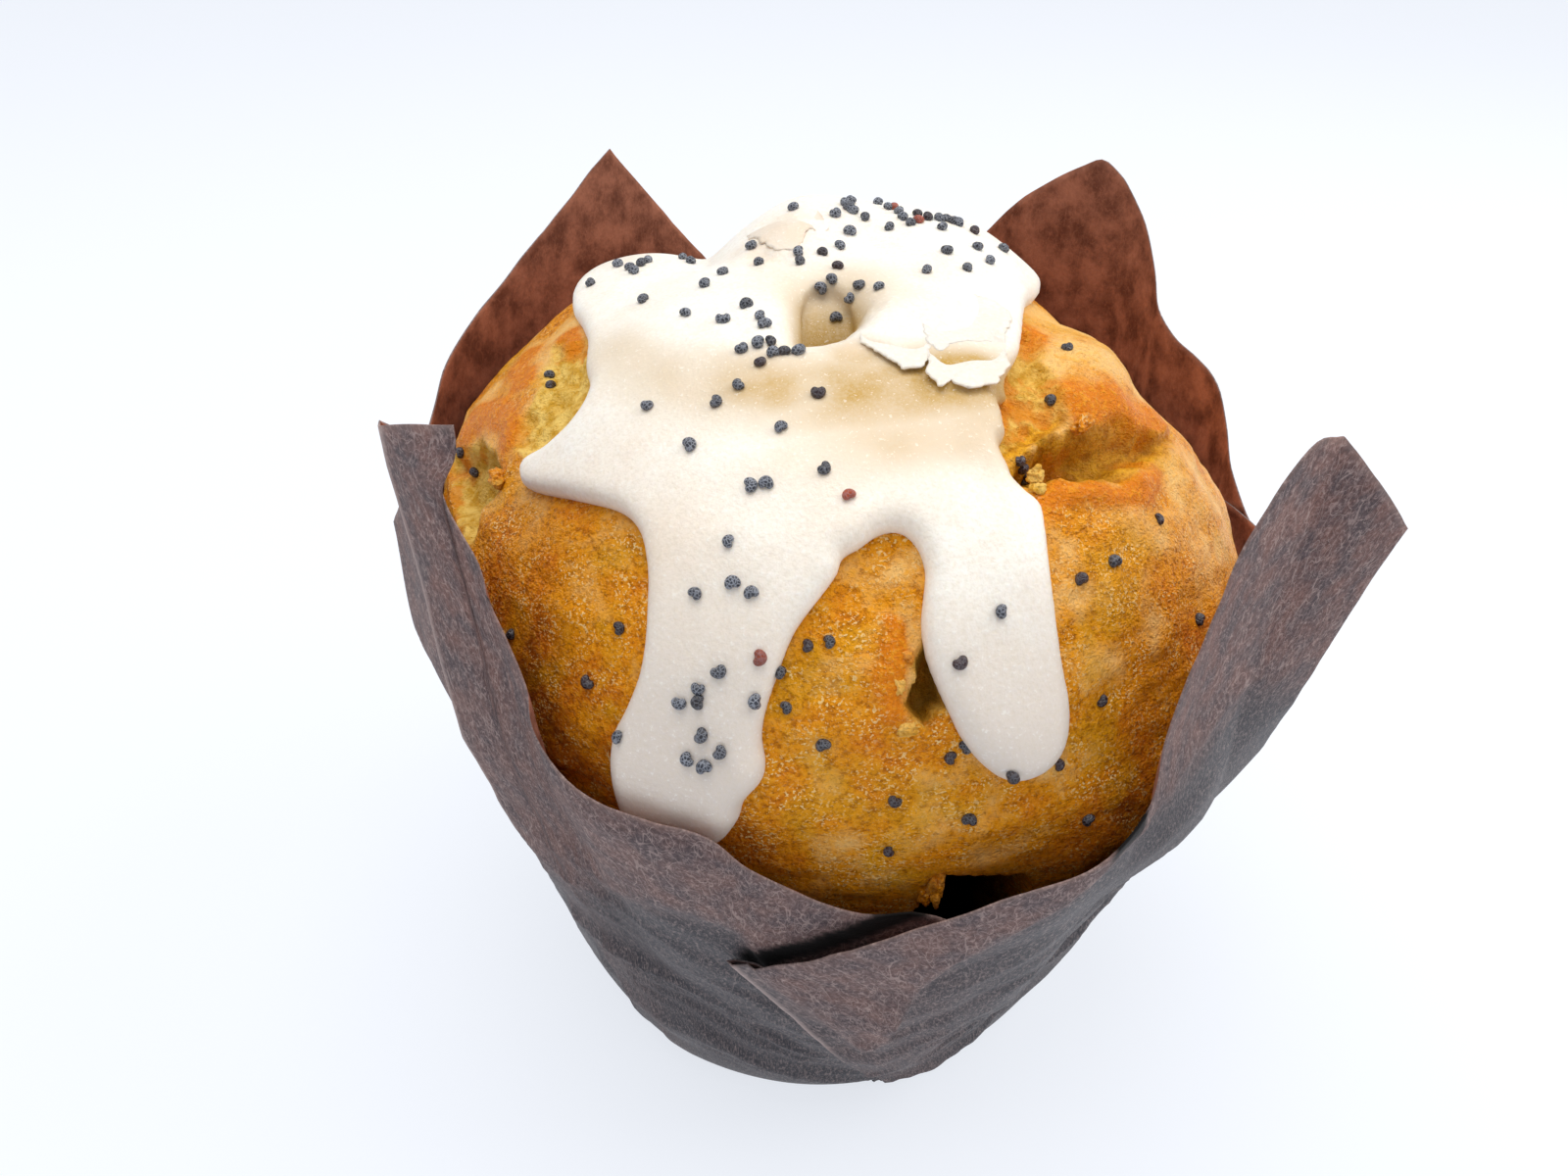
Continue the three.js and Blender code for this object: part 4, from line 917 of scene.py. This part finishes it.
def add_cake(colours):
    cake, column, row = rolled_grid("cake_crumb_and_crust", CAKE_COLUMNS, CAKE_ROWS)
    part = column / CAKE_COLUMNS
    azimuth = (90 + 360 * part + np.degrees(0.3 * np.sin(2 * np.pi * part))) % 360  # finest at the front
    lean = np.interp(row / CAKE_ROWS, [0, 0.94, 0.995, 1], [0, SHOWN_LEAN, LAST_LEAN, LAST_LEAN])
    points, outward = skin(azimuth, lean)
    flat = laid_flat(azimuth, lean)
    flat_outline, outline = icing_outline()
    covered = np.where(inside(flat_outline, flat), nearest_on(outline, points)[1], 0)
    bare = 1 - smooth(covered / 1.2)
    torn, crumb, dark, ochre = (np.zeros(len(points)) for _ in range(4))
    for tear in TEARS:
        depth, within = carved(tear, points, flat, tear["ragged"])
        torn = np.maximum(torn, depth)
        crumb = np.maximum(crumb, smooth(within / 0.7 + 0.3))
        # How much painted shade each place gets, growing with its depth.
        dark = np.maximum(dark, tear["dark"] * depth / tear["depth"])
        ochre = np.maximum(ochre, tear["ochre"] * (within > -1))
    toast = np.zeros(len(points))
    lip = np.zeros(len(points))
    for ridge in RIDGES:
        away = beside(ridge["path"], points) + 0.7 * lumps(points, 2.1, 23) + 0.4 * lumps(points, 0.9, 24)
        profile = np.exp(-((away / ridge["half"]) ** 2))
        toast = np.maximum(toast, profile)
        lip = np.maximum(lip, ridge["height"] * profile)
    hollow = carved(HOLLOW, points, flat, wider=HOLLOW_MARGIN)[0]
    height = relief(points) - torn + lip - 1.1 * hollow - 0.6 * (1 - bare)
    wrinkled = points * (0.3, 0.3, 1)
    height += bare * (0.34 * lumps(points, 8, 1) + 0.2 * lumps(points, 3.4, 2) + 0.1 * lumps(points, 1.5, 3)
                      + 0.12 * lumps(wrinkled, 1.3, 6) + 0.07 * lumps(wrinkled, 0.7, 7))
    height += crumb * (0.36 * lumps(points, 1.7, 4) + 0.34 * lumps(points, 0.9, 5))
    points = points + outward * (height * smooth((LAST_LEAN - lean) / 8))[:, None]
    points[row == 0] = points[row == 0].mean(0)
    points[row >= CAKE_ROWS - 1, 2] = CAKE_BOTTOM
    points[row == CAKE_ROWS] = (0, 0, CAKE_BOTTOM)
    move_vertices(cake, points * MM)
    store(cake, "crumb", crumb * (1 - 0.85 * toast))
    store(cake, "dark", dark)
    store(cake, "ochre", ochre)
    store(cake, "toast", toast)
    store(cake, "bake_and_painted_light", bake_and_painted_light_of(azimuth, lean, points))
    close_seams(cake)
    return finish_piece(cake, crust_material(colours), "muffin")


def add_crumbs():
    """Crumbs that hang loose at the torn edges, each a ragged lump."""
    lumpy = []
    for number, crumb in enumerate(CRUMBS):
        piece = primitive("ico_sphere", f"crumb_{number}", subdivisions=4, radius=1)
        points = vertices_of(piece)
        rough = 0.45 * lumps(points, 0.6, 80 + number) + 0.3 * lumps(points, 0.28, 90 + number)
        points *= (1 + rough)[:, None] * crumb["half"]
        place, outward = (row[0] for row in skin(*crumb["at"]))
        azimuth = math.radians(crumb["at"][0])
        round_it = np.array([-math.sin(azimuth), math.cos(azimuth), 0])
        axes = np.stack([round_it, np.cross(outward, round_it), outward])
        place = place + outward * (relief(place[None])[0] + 0.1)
        move_vertices(piece, (place + points @ axes) * MM)
        for name, value in (("crumb", crumb["crumb"]), ("ochre", 0), ("toast", 0.3), ("dark", 0), ("bake_and_painted_light", 0.3)):
            store(piece, name, np.full(len(points), value))
        lumpy.append(piece)
    return finish_piece(joined("loose_crumbs", lumpy), bpy.data.materials["baked_crust"])


# ---------------------------------------------------------------- icing
def add_icing(sizes, colours):
    flat_outline, outline = icing_outline()
    icing = trimmed_sheet("icing_coat", flat_outline, 0.5)
    flat = vertices_of(icing)[:, :2]
    azimuth, lean = from_flat(flat)
    points, outward = skin(azimuth, lean)
    inward = nearest_on(outline, points)[1]
    hollow, within = carved(HOLLOW, points, flat, wider=HOLLOW_MARGIN)
    shelf = broken_shelf(flat, points)
    height = relief(points) - ICING_SUNK - hollow
    move_vertices(icing, (points + outward * height[:, None]) * MM)
    full = sizes.icing_thickness / MM
    edge = 1 - np.clip(inward / ICING_ROUND, 0, 1)
    drip_end = np.exp(-(((lean - 84) / 8) ** 2)) * (azimuth < 265) + np.exp(
        -(((azimuth - 288) / 6) ** 2) - ((lean - 76) / 7) ** 2)
    thickness = full * (0.42 + 0.58 * np.sqrt(1 - edge**2)) + 0.6 * drip_end * (1 - edge)
    thickness += swelling(points) * (1 - edge) + shelf
    front_lip = smooth((lean - 9) / 6)
    thickness += 0.5 * front_lip * np.exp(-(((within + 0.5) / 0.9) ** 2))
    thickness *= 1 - 0.55 * smooth((within + 0.6) / 1.6)
    thickness += 0.35 * np.exp(-(form_distance(ROUGH_PATCH, points) ** 3)) * lumps(points, 1.1, 46)
    group = icing.vertex_groups.new(name="thickness")
    most = thickness.max()
    for index, share in enumerate((np.maximum(thickness, 0.4) + ICING_SUNK) / (most + ICING_SUNK)):
        group.add([index], float(share), "REPLACE")
    apply_modifier(icing, "SOLIDIFY", thickness=(most + ICING_SUNK) * MM, offset=1, vertex_group="thickness",
                   use_even_offset=False)
    apply_modifier(icing, "REMESH", mode="VOXEL", voxel_size=sizes.icing_grain)
    apply_modifier(icing, "SMOOTH", factor=0.5, iterations=6)
    icing.vertex_groups.clear()
    points = vertices_of(icing) / MM
    store_tints(icing, points)
    return finish_piece(icing, icing_material(colours), "icing")


def swelling(points):
    """How much thicker or thinner the icing is than its usual thickness."""
    return 0.3 * lumps(points, 9, 41) + 0.12 * lumps(points, 4, 42)


def broken_shelf(flat, points):
    """Height that the unbroken part of the icing has over the sunken slope in front of it."""
    outline = laid_flat(*np.array(SHELF, float).T)
    edge = np.where(inside(outline, flat), 1, -1) * beside(SHELF_EDGE, points)
    front = np.exp(-((np.linalg.norm(points - on_skin([SHELF_MIDDLE])[0], axis=1) / 11) ** 2))
    return front * (0.3 * smooth(edge / 0.6 + 0.5) - 0.3 * smooth(0.5 - edge / 0.6) * np.exp(edge / 5))


def store_tints(piece, points):
    """How creamy, how blushed and how thin the icing is at each place; creaminess and thinness also carry painted
    shade, and the icing is greyer lower down.
    """
    azimuth, lean = direction_of(points)
    cream_and_shade, blush = np.zeros(len(points)), np.zeros(len(points))
    for tint in CREAM_TINTS:
        cream_and_shade = np.maximum(cream_and_shade, tint["share"] * np.exp(-(form_distance(tint, points) ** 3)))
    for tint in BLUSH_TINTS:
        blush = np.maximum(blush, tint["share"] * np.exp(-(form_distance(tint, points) ** 2)))
    patch = ROUGH_PATCH["share"] * np.exp(-(form_distance(ROUGH_PATCH, points) ** 3))
    blush = np.maximum(blush, patch * (0.8 + 0.5 * lumps(points, 0.9, 47)))
    plain, outward = skin(azimuth, lean)
    below = relief(plain) + 1.8 - ((points - plain) * outward).sum(1)
    in_hollow = np.exp(-((np.linalg.norm(plain - on_skin([HOLLOW["deepest"]])[0], axis=1) / 9) ** 4))
    # Creamy tint, which below the broken edge of the crown also carries painted shade.
    store(piece, "cream_and_shade", np.clip(cream_and_shade * (1 + 0.3 * lumps(points, 3, 45)), 0, 0.9))
    store(piece, "blush", blush)
    # Thinness in the hollow grows with depth below the icing around it, and also stands for painted shade.
    store(piece, "thin", smooth((below + 0.3) / 3.6) * in_hollow)
    store(piece, "greying", smooth((lean - 44) / 36))


def add_flakes(sizes):
    """Thin plates of icing that broke loose along the edge of the shelf, each higher towards its free edge."""
    plates = []
    for number, flake in enumerate(FLAKES):
        loop = laid_flat(*np.array(flake["outline"], float).T)
        shares = np.arange(8)[:, None, None] / 8
        outline = (loop + shares * (np.roll(loop, -1, axis=0) - loop)).transpose(1, 0, 2).reshape(-1, 2)
        level = np.c_[outline, np.zeros(len(outline))]
        ragged = np.stack([lumps(level + shift, 0.9, 60 + number) + 0.6 * lumps(level + shift, 0.4, 70 + number)
                           for shift in (0, 5)], axis=1)
        plate = trimmed_sheet(f"icing_flake_{number}", outline + 0.4 * ragged, 0.22)
        flat = vertices_of(plate)[:, :2]
        points, outward = skin(*from_flat(flat))
        away = np.linalg.norm(points - on_skin([flake["hinge"]])[0], axis=1)
        lift = -0.5 + (flake["lift"] + 0.5) * smooth(away / flake["reach"]) + 0.08 * lumps(points, 2.2, 63)
        height = relief(points) + swelling(points) + sizes.icing_thickness / MM + lift
        move_vertices(plate, (points + outward * height[:, None]) * MM)
        store(plate, "blush", flake["blush"] * (1 + 0.7 * lumps(points, 1.4, 49)))
        apply_modifier(plate, "SOLIDIFY", thickness=FLAKE_THICKNESS * MM, offset=1)
        plates.append(plate)
    piece = joined("icing_flakes", plates)
    points = vertices_of(piece)
    for name, share in (("cream_and_shade", 0.1), ("thin", 0.0), ("greying", 0.0)):
        store(piece, name, share * (1 + 0.6 * lumps(points / MM, 3, 48)))
    return finish_piece(piece, bpy.data.materials["sugar_icing"])


# ---------------------------------------------------------------- seeds
def seed_shape(sizes):
    """One poppy seed, a kidney with a notch in its side, its length along X."""
    seed = primitive("ico_sphere", "seed", subdivisions=3, radius=1)
    points = vertices_of(seed)
    notch = np.exp(-((points[:, 0] / 0.3) ** 2)) * smooth(-points[:, 1] * 1.6)
    points[:, 1] = (points[:, 1] * (1 - 0.34 * notch) - 0.2 * points[:, 0] ** 2 + 0.07) * 0.86
    points[:, 2] *= 0.72 * (1 - 0.2 * notch)
    move_vertices(seed, points * sizes.seed_length / 2)
    return seed


def seen_at(x, y, trees):
    """Where the camera sees one of the surfaces at a picture point, and the way out of it."""
    focal = CAMERA_LENS / CAMERA_SENSOR * PICTURE_WIDTH
    for lower in range(0, HORIZON_REACH, HORIZON_STEP):
        ray = Vector((x - PICTURE_WIDTH / 2, PICTURE_HEIGHT / 2 - y - lower, -focal))
        ray.rotate(Matrix.Rotation(math.radians(CAMERA_TILT), 3, "X"))
        hits = [hit for hit in (tree.ray_cast(CAMERA_PLACE, ray.normalized()) for tree in trees) if hit[0]]
        if hits:
            return min(hits, key=lambda hit: hit[3])[:2]
    raise RuntimeError(f"no surface carries the seed at picture point {x}, {y}")


def scatter_seeds(name, seeds, shares, surfaces, sizes, material, sunk, seed):
    """Copies of a seed at the given picture points, each on what the camera sees there, joined into one piece."""
    draw = np.random.default_rng(seed)
    trees = [BVHTree.FromObject(surface, bpy.context.evaluated_depsgraph_get()) for surface in surfaces]
    model = seed_shape(sizes)
    copies = []
    tones = np.random.default_rng(seed).choice(SEED_TONES, len(seeds), p=shares)
    for point, tone in zip(seeds, tones):
        hit, normal = seen_at(*point, trees)
        copy = model.copy()
        copy.data = model.data.copy()
        bpy.context.collection.objects.link(copy)
        turn = Matrix.Rotation(draw.uniform(0, 2 * math.pi), 4, "Z")
        tip = Matrix.Rotation(draw.uniform(-0.5, 0.5), 4, "X")
        size = Matrix.Scale(draw.uniform(0.88, 1.1), 4)
        lift = Matrix.Translation(hit + normal * (0.34 * sizes.seed_length * (1 - sunk)))
        copy.data.transform(lift @ normal.to_track_quat("Z", "Y").to_matrix().to_4x4() @ turn @ tip @ size)
        store(copy, "tone", np.full(len(copy.data.vertices), tone + draw.uniform(-0.2, 0.2)))
        copies.append(copy)
    bpy.data.objects.remove(model)
    return finish_piece(joined(name, copies), material)


# ---------------------------------------------------------------- paper
def sheet_stations():
    """The rim's stations with the rounded turn of each fold: base, azimuth, height, radius, layer, corner."""
    rows = []
    count = len(SHEET)
    for i, (base, (azimuth, height, radius), layer, corner) in enumerate(SHEET):
        before, after = SHEET[i - 1][2], SHEET[(i + 1) % count][2]
        inner, outer = layer == 0 and after == 2, layer == 2 and before == 0

        def station(shift, lift):
            return (base + shift * FOLD_TURN_AT_BASE, azimuth + shift, height, radius + lift,
                    layer + lift / PLEAT_STEP, corner or inner or outer)

        if outer:
            rows += [station(0, -PLEAT_STEP), station(-FOLD_TURN, -PLEAT_STEP / 2)]
        rows.append(station(0, 0))
        if inner:
            rows += [station(FOLD_TURN, PLEAT_STEP / 2), station(0, PLEAT_STEP)]
    table = np.array(rows, float)
    table[:, 1] = np.degrees(np.unwrap(np.radians(table[:, 1])))
    return table


def sheet_columns():
    """Columns of the sheet, close together along a rim that runs smoothly between its corners."""
    stations = sheet_stations()
    closing = stations[:1].copy()
    closing[0, 0] += 360
    closing[0, 1] += 360
    rows = np.concatenate([stations, closing])
    count = len(stations)
    turn = np.radians(rows[:, 1])
    rim = np.stack([rows[:, 3] * np.cos(turn), rows[:, 3] * np.sin(turn), rows[:, 2]], axis=1)
    reach = np.linalg.norm(np.diff(rim, axis=0), axis=1)
    slopes = np.diff(rows[:, :5], axis=0) / np.maximum(reach, 1e-6)[:, None]
    columns, along, travelled = [], [], 0
    for k in range(count):
        left, right = slopes[k - 1], slopes[(k + 1) % count]
        start = slopes[k] if rows[k, 5] else (left + slopes[k]) / 2
        end = slopes[k] if rows[k + 1, 5] else (slopes[k] + right) / 2
        parts = max(int(math.ceil(reach[k] / PAPER_COLUMN)), 2)
        t = (np.arange(parts) / parts)[:, None]
        a, b = rows[k, :5], rows[k + 1, :5]
        columns.append(a * (2 * t**3 - 3 * t**2 + 1) + b * (3 * t**2 - 2 * t**3)
                       + reach[k] * (start * (t**3 - 2 * t**2 + t) + end * (t**3 - t**2)))
        along.append(travelled + reach[k] * t[:, 0])
        travelled += reach[k]
    return np.concatenate([*columns, rows[-1:, :5]]), np.concatenate([*along, [travelled]])


def paper_points(columns, share):
    """The sheet at shares of its height, from the bend at the base to the rim."""
    base, azimuth, rim_height, rim_radius, layer = columns.T
    height = BASE_CORNER + (rim_height - BASE_CORNER) * share
    rim_offset = rim_radius - wall_radius(rim_height) - PAPER_STAND_OFF
    petal = smooth((rim_height - PETAL_FROM) / (PETAL_FULL - PETAL_FROM))
    lean_start = np.where(rim_offset < LEAN_IN_OFFSET, LEAN_IN_START, LEAN_OUT_START) * petal
    lean = np.clip((share - lean_start) / (1 - lean_start), 0, 1) ** LEAN_CURVE
    layer_offset = PLEAT_STEP * layer * smooth(share / LAYERS_PART_BY)
    offset = PAPER_STAND_OFF + layer_offset * (1 - lean) + rim_offset * lean
    turn = np.radians(base + ((azimuth - base + 180) % 360 - 180) * share)
    wall = wall_radius(height)
    on_cake = np.stack([wall * np.cos(turn), wall * np.sin(turn), height], axis=1)
    radius = wall + offset + BASE_LAYER_STEP * layer + np.maximum(relief(on_cake), 0) * (1 - lean)
    return np.stack([radius * np.cos(turn), radius * np.sin(turn), height], axis=1)


def pressed_height(azimuth):
    """Height of the line below which the tin pressed the paper, and below which the paper is painted in shade."""
    table = np.array(PRESSED_LINE, float)
    return np.interp((azimuth + 10) % 360 - 10, table[:, 0], table[:, 1], period=360)


def creases(points, azimuth, share):
    """Creases that climb round the case away from its front, and fade towards the rim."""
    round_it = np.abs((azimuth - CREASE_MIDDLE + 180) % 360 - 180) * 0.6
    across = points[:, 2] - CREASE_SLOPE * round_it + 1.5 * lumps(points, 12, 50)
    sharp = 0.5 - np.abs(lumps(np.stack([across, round_it / 5, 0 * across], axis=1), 4.8, 51))
    finer = 0.5 - np.abs(lumps(np.stack([across, round_it / 4, 0 * across], axis=1), 1.9, 52))
    upright = 0.5 - np.abs(lumps(points * (1, 1, 0.3), 6, 53))
    low = 0.22 + 1.3 * np.exp(-(((share - 0.3) / 0.3) ** 2))
    return (2.2 * sharp + 0.7 * finer + 0.8 * upright + 0.7 * lumps(points, 8, 54)) * low * smooth(share * 12)


def bulges(azimuth, height):
    """How far the paper stands out from the plain wall at each place."""
    total = np.zeros(len(azimuth))
    for bulge in PAPER_BULGES:
        round_it = ((azimuth - bulge["at"][0] + 180) % 360 - 180) / bulge["half"][0]
        total += bulge["out"] * np.exp(-(round_it**2) - ((height - bulge["at"][1]) / bulge["half"][1]) ** 2)
    return total


def behind_flap(azimuth, height, layer):
    """1 where the sheet lies in the dark slot behind the front flap, which is painted near-black as shade."""
    edge = np.array(FLAP_EDGE)
    over = height - np.interp(azimuth, edge[:, 0], edge[:, 1])
    across = (azimuth > 256.2) & (azimuth < edge[-1, 0]) & (layer < 0.5)
    deep = np.interp(azimuth, [256, 262, 285], [0.3, 0.8, 1.1])
    return across * smooth((deep - over) / 0.5 + 0.5) * smooth((over + 2.5) / 0.8)


def add_paper(sizes, colours):
    columns, along = sheet_columns()
    rows = PAPER_ROWS + BASE_RINGS
    paper, column, row = rolled_grid("baking_paper_cup", len(columns) - 1, rows)
    share = np.clip((row - BASE_RINGS) / PAPER_ROWS, 0, 1)
    points = paper_points(columns[column], share)
    on_base = row < BASE_RINGS
    turn = np.radians(columns[column, 0])
    radius = (CAKE_BASE_RADIUS + 0.3) * row / (BASE_RINGS - 1)
    flat = np.stack([radius * np.cos(turn), radius * np.sin(turn), np.full(len(row), 0.1)], axis=1)
    points[on_base] = flat[on_base]
    azimuth = np.degrees(np.arctan2(points[:, 1], points[:, 0])) % 360
    over = points[:, 2] - pressed_height(azimuth)
    at_front = 0.08 + 0.92 * np.exp(-((((azimuth - CREASE_MIDDLE + 180) % 360 - 180) / 48) ** 2))
    lift = sizes.paper_crease / MM * creases(points, azimuth, share) * at_front
    lift += 0.7 * smooth(over / 2.5 + 0.5) * (1 - smooth(over / 16)) * at_front
    tip = smooth((points[:, 2] - TIP_FROM) / TIP_HEIGHT) * np.exp(-(((azimuth - 221) / 9) ** 4))
    turned = np.radians(azimuth + TIP_SHIFT * tip)
    standing = bulges(azimuth, points[:, 2]) * np.minimum(row / (BASE_RINGS - 1), 1)
    reach = np.hypot(points[:, 0], points[:, 1]) + np.where(on_base, 0, lift) + standing
    points[:, 0], points[:, 1] = reach * np.cos(turned), reach * np.sin(turned)
    wavy = np.stack([along[column], 0 * share, 0 * share], axis=1)
    points[:, 2] += 0.12 * (lumps(wavy, 4, 55) + 0.4 * lumps(wavy, 1.5, 56)) * smooth(share * 3 - 2)
    points[:, 2] = np.maximum(points[:, 2], 0.1)
    move_vertices(paper, points * MM)
    layer = columns[column, 4]
    outermost = columns[:, 4] > 1.98
    folds = along[1:][outermost[1:] & ~outermost[:-1]]
    fold_apart = np.abs(along[:, None] - folds[None]).min(1)
    store(paper, "along", along[column] * MM)
    store(paper, "up", points[:, 2] * MM)
    # Painted shade below the pressed line, less on the outer layers of the pleats.
    store(paper, "low", (1 - smooth(over / 7 + 0.5)) * (1 - 0.3 * np.clip(layer - 1, 0, 1)))
    # Wear and painted highlight along the fold edges and the rim.
    store(paper, "wear_and_painted_highlight", np.maximum(np.exp(-((fold_apart[column] / 0.3) ** 2)) * smooth(share * 4 - 1.4),
                                    0.3 * smooth(share * PAPER_ROWS - PAPER_ROWS + 1)))
    store(paper, "slot_painted_shade", behind_flap(azimuth, points[:, 2], layer))
    close_seams(paper)
    for side, base, dark, high, fibre, fibre_share, cloud_size, felt_share in (
            ("outside", colours.paper_outside, colours.paper_outside_dark, colours.paper_high, colours.paper_fibre,
             0.42, 3.6, 0.5),
            ("inside", colours.paper_inside, colours.paper_inside_dark, colours.paper_inside_high, colours.paper_inside,
             0.16, 4.2, 0.2)):
        paper.data.materials.append(paper_material(
            f"baking_paper_{side}", base, dark, colours.paper_low_painted_shade, high, fibre, fibre_share, cloud_size, felt_share))
    apply_modifier(paper, "SOLIDIFY", thickness=sizes.paper_thickness, offset=-1, material_offset=1)
    return finish_piece(paper, None, "paper_case")


# ---------------------------------------------------------------- stage
def add_floor(colours):
    floor = primitive("plane", "floor", size=6)
    floor.data.materials.append(floor_material(colours))
    return floor


def add_softbox(name, place, aim, size, power, colour):
    light = bpy.data.lights.new(name, "AREA")
    light.shape = "DISK"
    light.size = size
    light.energy = power
    light.color = linear(colour)[:3]
    lamp = bpy.data.objects.new(name, light)
    lamp.location = place
    lamp.rotation_euler = (Vector(aim) - Vector(place)).to_track_quat("-Z", "Y").to_euler()
    bpy.context.collection.objects.link(lamp)
    return lamp


def add_camera():
    camera = bpy.data.objects.new("camera", bpy.data.cameras.new("camera"))
    camera.data.lens = CAMERA_LENS
    camera.data.sensor_width = CAMERA_SENSOR
    camera.data.clip_start = 0.005
    camera.location = CAMERA_PLACE
    camera.rotation_euler = (math.radians(CAMERA_TILT), 0, 0)
    bpy.context.collection.objects.link(camera)
    bpy.context.scene.camera = camera


def add_stage(colours):
    add_floor(colours)
    world = bpy.data.worlds.new("studio")
    world.use_nodes = True
    world.node_tree.nodes["Background"].inputs["Color"].default_value = linear("#f3f7ff")
    world.node_tree.nodes["Background"].inputs["Strength"].default_value = 0.62
    bpy.context.scene.world = world
    bpy.context.scene.view_settings.view_transform = "Standard"
    add_softbox("overhead_softbox", (-0.04, 0.04, 0.58), (0, 0, 0.05), 0.5, 2.0, "#fffcf6")
    add_softbox("right_softbox", (0.42, 0.06, 0.36), (0, 0, 0.05), 0.4, 1.2, "#fffaf2")
    add_camera()


# ---------------------------------------------------------------- operators and panel
class MUFFIN_OT_cake(bpy.types.Operator):
    """Adds the cake with its crust and torn places, and the loose crumbs"""

    bl_idname = "muffin.add_cake"
    bl_label = "Cake"

    def execute(self, context):
        add_cake(context.scene.muffin_colours)
        add_crumbs()
        return {"FINISHED"}


class MUFFIN_OT_icing(bpy.types.Operator):
    """Adds the icing over the crown, with its drips and its broken plates"""

    bl_idname = "muffin.add_icing"
    bl_label = "Icing"

    def execute(self, context):
        add_icing(context.scene.muffin_sizes, context.scene.muffin_colours)
        add_flakes(context.scene.muffin_sizes)
        return {"FINISHED"}


class MUFFIN_OT_seeds(bpy.types.Operator):
    """Strews the poppy seeds over the icing and sets others in the crust"""

    bl_idname = "muffin.add_seeds"
    bl_label = "Poppy seeds"

    def execute(self, context):
        sizes = context.scene.muffin_sizes
        material = seed_material(context.scene.muffin_colours)
        coat, cake, crumbs = (bpy.data.objects[name]
                              for name in ("icing_coat", "cake_crumb_and_crust", "loose_crumbs"))
        flakes = bpy.data.objects["icing_flakes"]
        scatter_seeds("icing_poppy_seeds", ICING_SEEDS, ICING_SEED_SHARES, (flakes, coat, cake), sizes, material,
                      0.45, 5)
        scatter_seeds("cake_poppy_seeds", CAKE_SEEDS, CAKE_SEED_SHARES, (crumbs, cake), sizes, material,
                      0.8, 6)
        return {"FINISHED"}


class MUFFIN_OT_paper(bpy.types.Operator):
    """Folds the sheet of baking paper round the cake"""

    bl_idname = "muffin.add_paper"
    bl_label = "Paper case"

    def execute(self, context):
        add_paper(context.scene.muffin_sizes, context.scene.muffin_colours)
        return {"FINISHED"}


class MUFFIN_OT_stage(bpy.types.Operator):
    """Adds the floor, the light and the camera"""

    bl_idname = "muffin.add_stage"
    bl_label = "Stage"

    def execute(self, context):
        add_stage(context.scene.muffin_colours)
        return {"FINISHED"}


OPERATORS = (MUFFIN_OT_cake, MUFFIN_OT_icing, MUFFIN_OT_seeds, MUFFIN_OT_paper, MUFFIN_OT_stage)


class MUFFIN_PT_panel(bpy.types.Panel):
    """Lists the pieces of the muffin"""

    bl_label = "Muffin"
    bl_space_type = "VIEW_3D"
    bl_region_type = "UI"
    bl_category = "Muffin"

    def draw(self, context):
        for operator in OPERATORS:
            self.layout.operator(operator.bl_idname)
        for group in (context.scene.muffin_sizes, context.scene.muffin_colours):
            for name in group.__annotations__:
                self.layout.prop(group, name)


CLASSES = (MuffinColours, MuffinSizes, *OPERATORS, MUFFIN_PT_panel)


def register():
    for item in CLASSES:
        bpy.utils.register_class(item)
    bpy.types.Scene.muffin_colours = bpy.props.PointerProperty(type=MuffinColours)
    bpy.types.Scene.muffin_sizes = bpy.props.PointerProperty(type=MuffinSizes)


def unregister():
    del bpy.types.Scene.muffin_colours
    del bpy.types.Scene.muffin_sizes
    for item in reversed(CLASSES):
        bpy.utils.unregister_class(item)


def main():
    register()
    bpy.ops.muffin.add_cake()
    bpy.ops.muffin.add_icing()
    bpy.ops.muffin.add_seeds()
    bpy.ops.muffin.add_paper()
    bpy.ops.muffin.add_stage()


if __name__ == "__main__":
    main()
